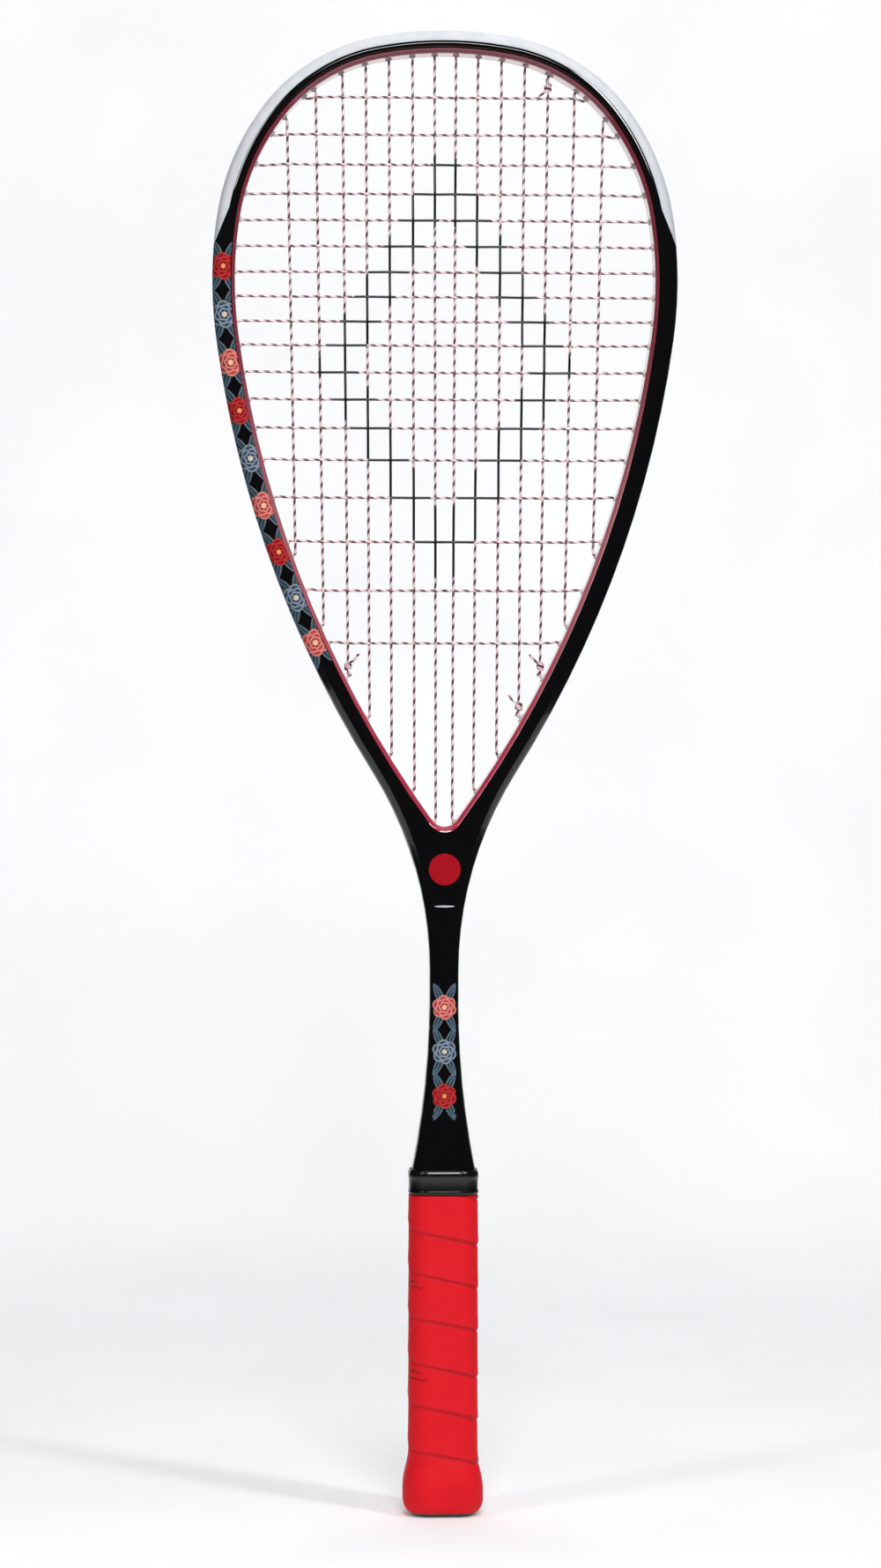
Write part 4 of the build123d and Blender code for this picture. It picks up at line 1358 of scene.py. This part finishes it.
@dataclass
class ShaftPrint:
    """Films on the front of throat and shaft: a garland, a plain round spot and a plain bar."""

    lift: float = 0.03
    margin: float = 0.5
    flower_size: float = 5.8
    flower_heights: tuple[float, ...] = (195.0, 215.5, 236.0)

    def __post_init__(self) -> None:
        """Read the frame's surface."""
        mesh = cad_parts["frame"].data
        self.surface = BVHTree.FromPolygons([v.co.copy() for v in mesh.vertices],
                                            [tuple(p.vertices) for p in mesh.polygons])

    def front(self, x: float, z: float) -> Optional[Vector]:
        """The frame's front surface at a place in millimetres, lifted by the film's thickness.

        Args:
            x: place across.
            z: height.

        Returns:
            The place in metres, or None beside the frame.
        """
        hit = self.surface.ray_cast(Vector((x * MM, -0.1, z * MM)), Vector((0, 1, 0)))
        if hit[0] is None:
            return None
        return hit[0] + hit[1].normalized() * self.lift * MM

    def half_width(self, z: float) -> float:
        """Half the frame's width at a height, from the middle outwards, in millimetres.

        Args:
            z: height in millimetres.

        Returns:
            Millimetres from the middle.
        """
        low, high = 0.0, 40.0
        for _ in range(20):
            middle = (low + high) / 2
            if self.front(middle, z) is None:
                high = middle
            else:
                low = middle
        return low

    def motifs(self) -> list:
        """A garland of three flowers up the shaft.

        Returns:
            Motifs, the lowest first.
        """
        return garland([(0.0, z, 0.0) for z in self.flower_heights], self.flower_size)

    def build(self, material: bpy.types.Material) -> None:
        """Make the films."""
        self.flower(material, 181.0, 250.0)
        self.badge(material, 0.0, 299.7, 7.3)
        self.bar(material, 0.0, 282.6, 4.6, 0.45)

    def flower(self, material: bpy.types.Material, bottom: float, top: float) -> None:
        """The flower film between two heights.

        Args:
            material: the film's finish.
            bottom: its lowest height.
            top: its highest.
        """
        rows, columns, grid = int((top - bottom) / 0.35), 56, []
        for row in range(rows + 1):
            z = bottom + (top - bottom) * row / rows
            half = self.half_width(z) - self.margin
            for column in range(columns):
                x = half * math.sin(math.pi * (column / (columns - 1) - 0.5))
                grid.append(self.front(x, z))
        piece = mesh_object("shaft_flower_print", grid, grid_faces(rows + 1, columns, False), material)
        places = np.array([tuple(p) for p in grid]) / MM
        self.finish(piece, printed(self.motifs(), places[:, 0], places[:, 2]))

    def badge(self, material: bpy.types.Material, x: float, z: float, radius: float) -> None:
        """A plain round spot of one red.

        Args:
            material: the film's finish.
            x: its middle across.
            z: its middle's height.
            radius: its radius.
        """
        rings, spokes, grid = 30, 64, []
        for ring in range(rings + 1):
            for spoke in range(spokes):
                distance = radius * max(ring / rings, 0.004)
                angle = math.tau * spoke / spokes
                grid.append(self.front(x + distance * math.cos(angle), z + distance * math.sin(angle)))
        piece = mesh_object("throat_badge_print", grid, grid_faces(rings + 1, spokes, True), material)
        self.finish(piece, np.tile(Tone.RED.linear(), (len(grid), 1)))

    def bar(self, material: bpy.types.Material, x: float, z: float, half: float, thick: float) -> None:
        """A plain level pinstripe that tapers to both ends.

        Args:
            material: the film's finish.
            x: its middle across.
            z: its middle's height.
            half: half its length.
            thick: half its thickness.
        """
        columns, rows, grid = 40, 5, []
        for row in range(rows):
            for column in range(columns):
                share = column / (columns - 1) * 2 - 1
                reach = thick * math.sqrt(max(1 - share * share, 0.01))
                height = z + reach * (row / (rows - 1) * 2 - 1)
                grid.append(self.front(x + share * half, height))
        piece = mesh_object("throat_bar_print", grid, grid_faces(rows, columns, False), material)
        self.finish(piece, np.tile(Tone.MIST.linear(), (len(grid), 1)))

    def finish(self, piece: bpy.types.Object, colours: np.ndarray) -> None:
        """Colour a film and put it on the racket, facing forwards."""
        add_colours(piece, "print", colours)
        face_outwards(piece, Vector((0, -1, 0)))
        dress(piece, "frame_lacquer")


# ---------------------------------------------------------------- grip

@dataclass
class RoundedSection:
    """A rectangle with round corners, walked from the middle of its front side towards +X."""

    width: float
    depth: float
    corner: float

    def ring(self, columns: int) -> np.ndarray:
        """Evenly spaced places round the section.

        Args:
            columns: how many.

        Returns:
            Rows of x, y, outward normal x and y, and the share of the way round.
        """
        half_x, half_y = self.width / 2 - self.corner, self.depth / 2 - self.corner
        radius, quarter = self.corner, math.pi / 2 * self.corner
        sides = (
            (half_x, (0.0, -half_y - radius), (1, 0), -90.0),
            (2 * half_y, (half_x + radius, -half_y), (0, 1), 0.0),
            (2 * half_x, (half_x, half_y + radius), (-1, 0), 90.0),
            (2 * half_y, (-half_x - radius, half_y), (0, -1), 180.0),
            (half_x, (-half_x, -half_y - radius), (1, 0), -90.0),
        )
        corners = ((half_x, -half_y), (half_x, half_y), (-half_x, half_y), (-half_x, -half_y))
        perimeter = 4 * half_x + 4 * half_y + 4 * quarter
        rows = []
        for i in range(columns):
            travel = perimeter * i / columns
            for number, (length, start, way, facing) in enumerate(sides):
                if travel <= length or number == len(sides) - 1:
                    angle = math.radians(facing)
                    place = (start[0] + way[0] * travel, start[1] + way[1] * travel)
                    break
                travel -= length
                if travel <= quarter:
                    angle = math.radians(facing) + travel / radius
                    centre = corners[number]
                    place = (centre[0] + radius * math.cos(angle), centre[1] + radius * math.sin(angle))
                    break
                travel -= quarter
            rows.append((place[0], place[1], math.cos(angle), math.sin(angle), i / columns))
        return np.array(rows)


@dataclass
class WoundGrip:
    """The grip: one cushioned strip wound up the handle from the butt, each turn lapping the last."""

    section: RoundedSection = field(default_factory=lambda: RoundedSection(32.6, 27.2, 9.6))
    flare: float = 2.7
    flare_top: float = 30.0
    flare_full: float = 12.0
    foot_round: float = 7.6
    foot_start: float = 7.6
    bottom: float = 1.9
    top: float = 149.2
    pitch: float = 20.4
    first_seam: float = 28.2
    lap: float = 0.42
    crease_width: float = 0.95
    crease_depth: float = 0.36
    wall: float = 1.4
    wander: float = 0.03
    start_from: float = 12.0
    start_full: float = 21.0
    edge_reach: float = 1.6
    lap_reach: float = 7.0
    lap_rise: float = 0.8
    rim_round: float = 1.2
    rim_depth: float = 0.8
    fold_depth: float = 0.6
    fold_width: float = 0.6
    fold_shade: float = 2.2
    rows: int = 520
    columns: int = 132

    def growth(self, z: np.ndarray) -> np.ndarray:
        """How far the handle flares out at a height."""
        flare = self.flare * soft(z, self.flare_top, self.flare_full)
        foot = np.clip((self.foot_start - z) / self.foot_round, 0, 1)
        return flare - self.foot_round * (1 - np.sqrt(1 - np.minimum(foot, 0.999) ** 2))

    def build(self) -> None:
        """Make the strip's outer and inner faces as one closed sleeve."""
        base = self.section.ring(self.columns)
        z = np.linspace(self.bottom, self.top, self.rows)
        heights = np.repeat(z, self.columns).reshape(self.rows, self.columns)
        turn = (heights - self.first_seam) / self.pitch + base[:, 4]
        turn = turn + self.wander * np.sin(math.tau * base[:, 4] + heights * 0.11)
        started = soft(heights, self.start_from, self.start_full)
        phase = turn % 1.0
        above, below = phase * self.pitch, (1 - phase) * self.pitch
        # Creases sink deeper at the front right; their painted shade is also darker there and lighter
        # towards the left.
        pressed_and_shaded = 0.6 + 0.4 * np.cos(math.tau * (base[:, 4] - 0.12))
        # A dent along each seam; the same value darkens the seam as painted shade.
        crease_and_shade = np.exp(-(np.minimum(above, below) / self.crease_width) ** 2) * started * pressed_and_shaded
        edge = np.exp(-above / self.edge_reach) * (1 - crease_and_shade) * started
        swell = self.lap * np.exp(-above / self.lap_reach) * soft(above, 0.0, self.lap_rise) * started
        folds, shade = self.folds(base, heights)
        grow = self.growth(heights) + swell - self.lap - self.crease_depth * crease_and_shade - folds
        grow = grow - self.rim_depth * soft(heights, self.top - self.rim_round, self.top)
        outer = self.places(base, grow, heights)
        inner = self.places(base, self.growth(heights) - self.wall, heights)[[0, -1]]
        vertices = np.vstack([outer.reshape(-1, 3), inner.reshape(-1, 3)]) * MM
        faces = grid_faces(self.rows, self.columns, closed=True) + self.rims(outer[..., 0].size)
        piece = mesh_object("grip_wound_strip", vertices, faces, CushionGrip().material())
        turn_outwards(piece)
        spare = np.zeros(inner[..., 0].size)
        add_values(piece, "edge", np.concatenate([edge.ravel(), spare]))
        # Painted shade: the creases and folds, and full dark on the sleeve's inside, fading across its end
        # rims.
        painted_shade = np.maximum(crease_and_shade, shade).ravel()
        add_values(piece, "crease_and_shade", np.concatenate([painted_shade, spare + 1]))
        dress(piece, "grip", "grip_wrap")

    def places(self, base: np.ndarray, grow: np.ndarray, heights: np.ndarray) -> np.ndarray:
        """Places on the section grown by an amount at each height."""
        return np.stack([base[:, 0] + base[:, 2] * grow, base[:, 1] + base[:, 3] * grow, heights], axis=-1)

    def rims(self, start: int) -> list[tuple[int, int, int, int]]:
        """The faces that close the sleeve at both ends and along its inside.

        Args:
            start: number of the inner wall's first vertex.

        Returns:
            Four vertex numbers for each face.
        """
        faces = []
        last = (self.rows - 1) * self.columns
        for column in range(self.columns):
            after = (column + 1) % self.columns
            ring = start + self.columns
            faces.append((column, start + column, start + after, after))
            faces.append((last + column, last + after, ring + after, ring + column))
            faces.append((start + column, ring + column, ring + after, start + after))
        return faces

    def folds(self, base: np.ndarray, heights: np.ndarray) -> tuple[np.ndarray, np.ndarray]:
        """Small pulled folds at the left edge, and the shade painted into them.

        Args:
            base: the section, as RoundedSection.ring gives it.
            heights: height of every vertex, in millimetres.

        Returns:
            Depth in millimetres, and painted shade from 0 to 1.
        """
        depth = np.zeros(heights.shape)
        front = (base[:, 1] < 0)[None, :]
        from_left = base[:, 0][None, :] + self.section.width / 2
        for height, reach in ((107.0, 7.0), (109.5, 4.5), (64.5, 10.0), (67.5, 6.0)):
            line = height - 0.12 * from_left + 0.35 * np.sin(from_left * 0.9)
            fade = 1 - soft(from_left, reach - 3, reach)
            depth += self.fold_depth * front * np.exp(-((heights - line) / self.fold_width) ** 2) * fade
        return depth, np.clip(depth * self.fold_shade, 0, 1)


@dataclass
class RolledCollar:
    """The rubber ring above the grip: a beaded foot, a waist, and a fat rolled top with a moulding nib."""

    section: RoundedSection = field(default_factory=lambda: RoundedSection(32.5, 27.1, 9.6))
    bottom: float = 149.5
    wall: float = 0.9
    columns: int = 160
    profile: tuple = ((0.0, -0.85), (0.0, -0.5), (0.12, -0.18), (0.45, -0.02), (1.1, 0.0), (1.5, -0.10),
                      (1.9, -0.26), (2.5, -0.3), (6.4, -0.26), (7.2, -0.16), (8.0, -0.04), (8.8, 0.0),
                      (9.5, -0.07), (10.1, -0.24), (10.6, -0.48), (10.9, -0.72), (11.0, -0.85))
    nib_x: float = -15.0
    nib_rise: float = 0.7
    nib_half: float = 1.1
    nib_from: float = 10.3
    inner_ends: tuple[float, float] = (10.9, 0.1)

    def build(self) -> None:
        """Make the ring as one closed mesh."""
        base = self.section.ring(self.columns)
        loop = list(self.profile) + [(rise, -self.wall) for rise in self.inner_ends]
        rows = []
        for rise, grow in loop:
            beside = (base[:, 0] - self.nib_x) / self.nib_half
            lift = self.nib_rise * np.exp(-beside ** 2) * (base[:, 1] < 0)
            height = self.bottom + rise + lift * (rise > self.nib_from)
            rows.append(np.stack([base[:, 0] + base[:, 2] * grow, base[:, 1] + base[:, 3] * grow, height],
                                 axis=-1))
        vertices = np.concatenate(rows) * MM
        faces = grid_faces(len(loop), self.columns, closed=True, looped=True)
        piece = mesh_object("collar_rolled_ring", vertices, faces, SmoothRubber().material())
        turn_outwards(piece)
        dress(piece, "collar_rubber", "grip_collar", body="collar")


@dataclass
class SeatLip:
    """The moulded lip of the frame along the seat of the tip guard, on both faces."""

    outline: HeadOutline
    face_y: float = 10.0
    end_z: float = 597.0
    taper: float = 22.0
    rows: int = 420
    profile: tuple = ((5.02, -0.08), (5.08, 0.0), (5.14, 0.03), (5.95, 0.39), (6.05, 0.42), (6.3, 0.44),
                      (6.6, 0.40), (7.4, 0.05), (7.6, 0.0), (7.7, -0.06))

    def build(self, material: bpy.types.Material) -> None:
        """Make both lips.

        Args:
            material: the frame's finish.
        """
        end = solve(lambda s: self.outline.outside_at(s, 0.0)[1] - self.end_z, 0.0, self.outline.total())
        for name, side in (("front", -1), ("back", 1)):
            grid = []
            for row in range(self.rows + 1):
                length = end * (2 * row / self.rows - 1)
                rise = float(soft(np.array(end - abs(length)), 0.0, self.taper))
                for inset, height in self.profile:
                    x, z, _ = self.outline.outside_at(abs(length), inset)
                    y = self.face_y + (height * rise if height > 0 else height)
                    grid.append((math.copysign(x, length), side * y, z))
            faces = grid_faces(self.rows + 1, len(self.profile), closed=False)
            piece = mesh_object(f"guard_seat_lip_{name}", np.array(grid) * MM, faces, material)
            face_outwards(piece, Vector((0, side, 0)))
            dress(piece, "frame_lacquer")


# ---------------------------------------------------------------- CAD pieces' finishes

def finish_cad_nodes() -> None:
    """Give every carried-over CAD node its finish."""
    guard = MouldedNylon("moulded_nylon_guard", "c9cbcf", "c0c4cb", 0.55)
    strip = MouldedNylon("moulded_nylon_grommets", "e9dcdd", "dccbcd", 0.3)
    finishes = {
        "frame": FrameLacquer().material(),
        "bumper_guard": guard.material(),
        "grip_collar": SmoothRubber("black_collar_rubber").material(),
        "butt_cap": SmoothRubber("moulded_black_polypropylene", "0a0a0b", "0f0f11", 0.35).material(),
        "finishing_tape": SmoothRubber("black_vinyl_tape", "0d0d0f", "151517", 0.35).material(),
        "tang_plug": SmoothRubber("closed_cell_foam", "242426", "2e2e30", 0.9).material(),
    }
    pallet = SmoothRubber("rigid_urethane_foam", "191512", "231e1a", 0.8).material()
    grommets = strip.material()
    steel = DrawnSteel().material()
    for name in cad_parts:
        if "grommet_strip" in name:
            finishes[name] = grommets
        elif "pallet" in name:
            finishes[name] = pallet
        elif name in ("butt_cap_staples", "grip_tack"):
            finishes[name] = steel
    for name, material in finishes.items():
        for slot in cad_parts[name].material_slots:
            slot.material = material


# ---------------------------------------------------------------- studio

@dataclass
class Studio:
    """Pale seamless floor and backdrop, soft white lights, and the camera."""

    distance: float = 2.17
    azimuth: float = -2.5
    camera_height: float = 0.382
    aim: tuple[float, float, float] = (-0.0016, 0.0, 0.3389)
    lens: float = 107.6
    roll: float = 0.11
    floor_end: float = 0.72
    cove: float = 0.3
    wall_height: float = 2.6
    wall_half: float = 0.78
    floor_front: float = -0.9
    wall_glow: float = 0.195
    floor_glow: float = 0.13
    room: float = 0.03

    def build(self) -> None:
        """Make camera, backdrop, lights and world."""
        self.camera()
        self.backdrop()
        self.lights()
        self.world()

    def camera(self) -> None:
        """A long lens nearly square to the face."""
        data = bpy.data.cameras.new("camera")
        data.lens = self.lens
        camera = bpy.data.objects.new("camera", data)
        bpy.context.scene.collection.objects.link(camera)
        angle = math.radians(self.azimuth)
        place = Vector((self.aim[0] + self.distance * math.sin(angle),
                        -self.distance * math.cos(angle), self.camera_height))
        camera.location = place
        turn = (Vector(self.aim) - place).to_track_quat("-Z", "Y").to_euler()
        camera.rotation_euler = turn
        camera.rotation_euler.rotate_axis("Z", math.radians(self.roll))
        bpy.context.scene.camera = camera

    def backdrop(self) -> None:
        """A floor that curves up into a wall, the wall lit from behind."""
        profile = [(self.floor_front, 0.0), (self.floor_end, 0.0)]
        profile += [(self.floor_end + self.cove * math.sin(a), self.cove - self.cove * math.cos(a))
                    for a in np.linspace(0.05, math.pi / 2, 24)]
        profile.append((self.floor_end + self.cove, self.wall_height))
        half = self.wall_half
        places = [(x, y, z) for y, z in profile for x in (-half, half)]
        shader = Shader("matt_white_paper")
        cloud = shader.step(shader.noise(160.0, 2.0), 0.3, 0.7)
        shader.link("Base Color", shader.mix(cloud, srgb("f4f5f7"), srgb("eff0f2")))
        parts = shader.add("ShaderNodeSeparateXYZ", links={0: shader.place()})
        glow = shader.step(parts.outputs[2], 0.0, 0.05)
        light = shader.maths("MULTIPLY_ADD", glow, self.wall_glow - self.floor_glow, self.floor_glow)
        shader.link("Emission Strength", light)
        shader.set(Roughness=0.85, Emission_Color=srgb("fdfefe"))
        sheet = mesh_object("backdrop", places, grid_faces(len(profile), 2, False), shader.material)
        face_outwards(sheet, Vector((0, -1, 1)))

    def lights(self) -> None:
        """Two slim boxes high at the sides, a square one high in front, and a wide one overhead."""
        rows = (
            ("left_box", (-1.25, -1.14, 1.41), (0.0, 0.0, 0.5), (0.2, 0.9), 5.5),
            ("right_box", (1.10, -1.11, 1.61), (0.0, 0.0, 0.5), (0.2, 0.9), 13.0),
            ("front_box", (0.05, -1.70, 1.55), (0.0, 0.0, 0.35), (0.7, 0.6), 27.0),
            ("top_box", (0.0, -0.10, 1.75), (0.0, 0.05, 0.0), (1.4, 1.0), 7.0),
        )
        for name, place, aim, size, power in rows:
            data = bpy.data.lights.new(name, "AREA")
            data.shape = "RECTANGLE"
            data.size, data.size_y = size
            data.energy = power
            light = bpy.data.objects.new(name, data)
            light.location = place
            turn = (Vector(aim) - Vector(place)).to_track_quat("-Z", "Y")
            light.rotation_euler = turn.to_euler()
            bpy.context.scene.collection.objects.link(light)

    def world(self) -> None:
        """A dark room with a little bounce."""
        world = bpy.data.worlds.new("dark_room")
        world.use_nodes = True
        background = world.node_tree.nodes["Background"]
        background.inputs["Color"].default_value = (1.0, 1.0, 1.0, 1.0)
        background.inputs["Strength"].default_value = self.room
        bpy.context.scene.world = world
        bpy.context.scene.view_settings.view_transform = "Standard"


def main() -> None:
    """Build the racket's looks round the CAD frame, then the studio."""
    logging.basicConfig(level=logging.INFO)
    Studio().build()
    outline = HeadOutline()
    finish_cad_nodes()
    StringBed(outline).build()
    film = PrintedLacquer().material()
    HoopPrint(outline).build(film)
    ShaftPrint().build(film)
    SeatLip(outline).build(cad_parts["frame"].material_slots[0].material)
    WoundGrip().build()
    RolledCollar().build()
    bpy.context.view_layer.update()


if __name__ == "__main__":
    main()
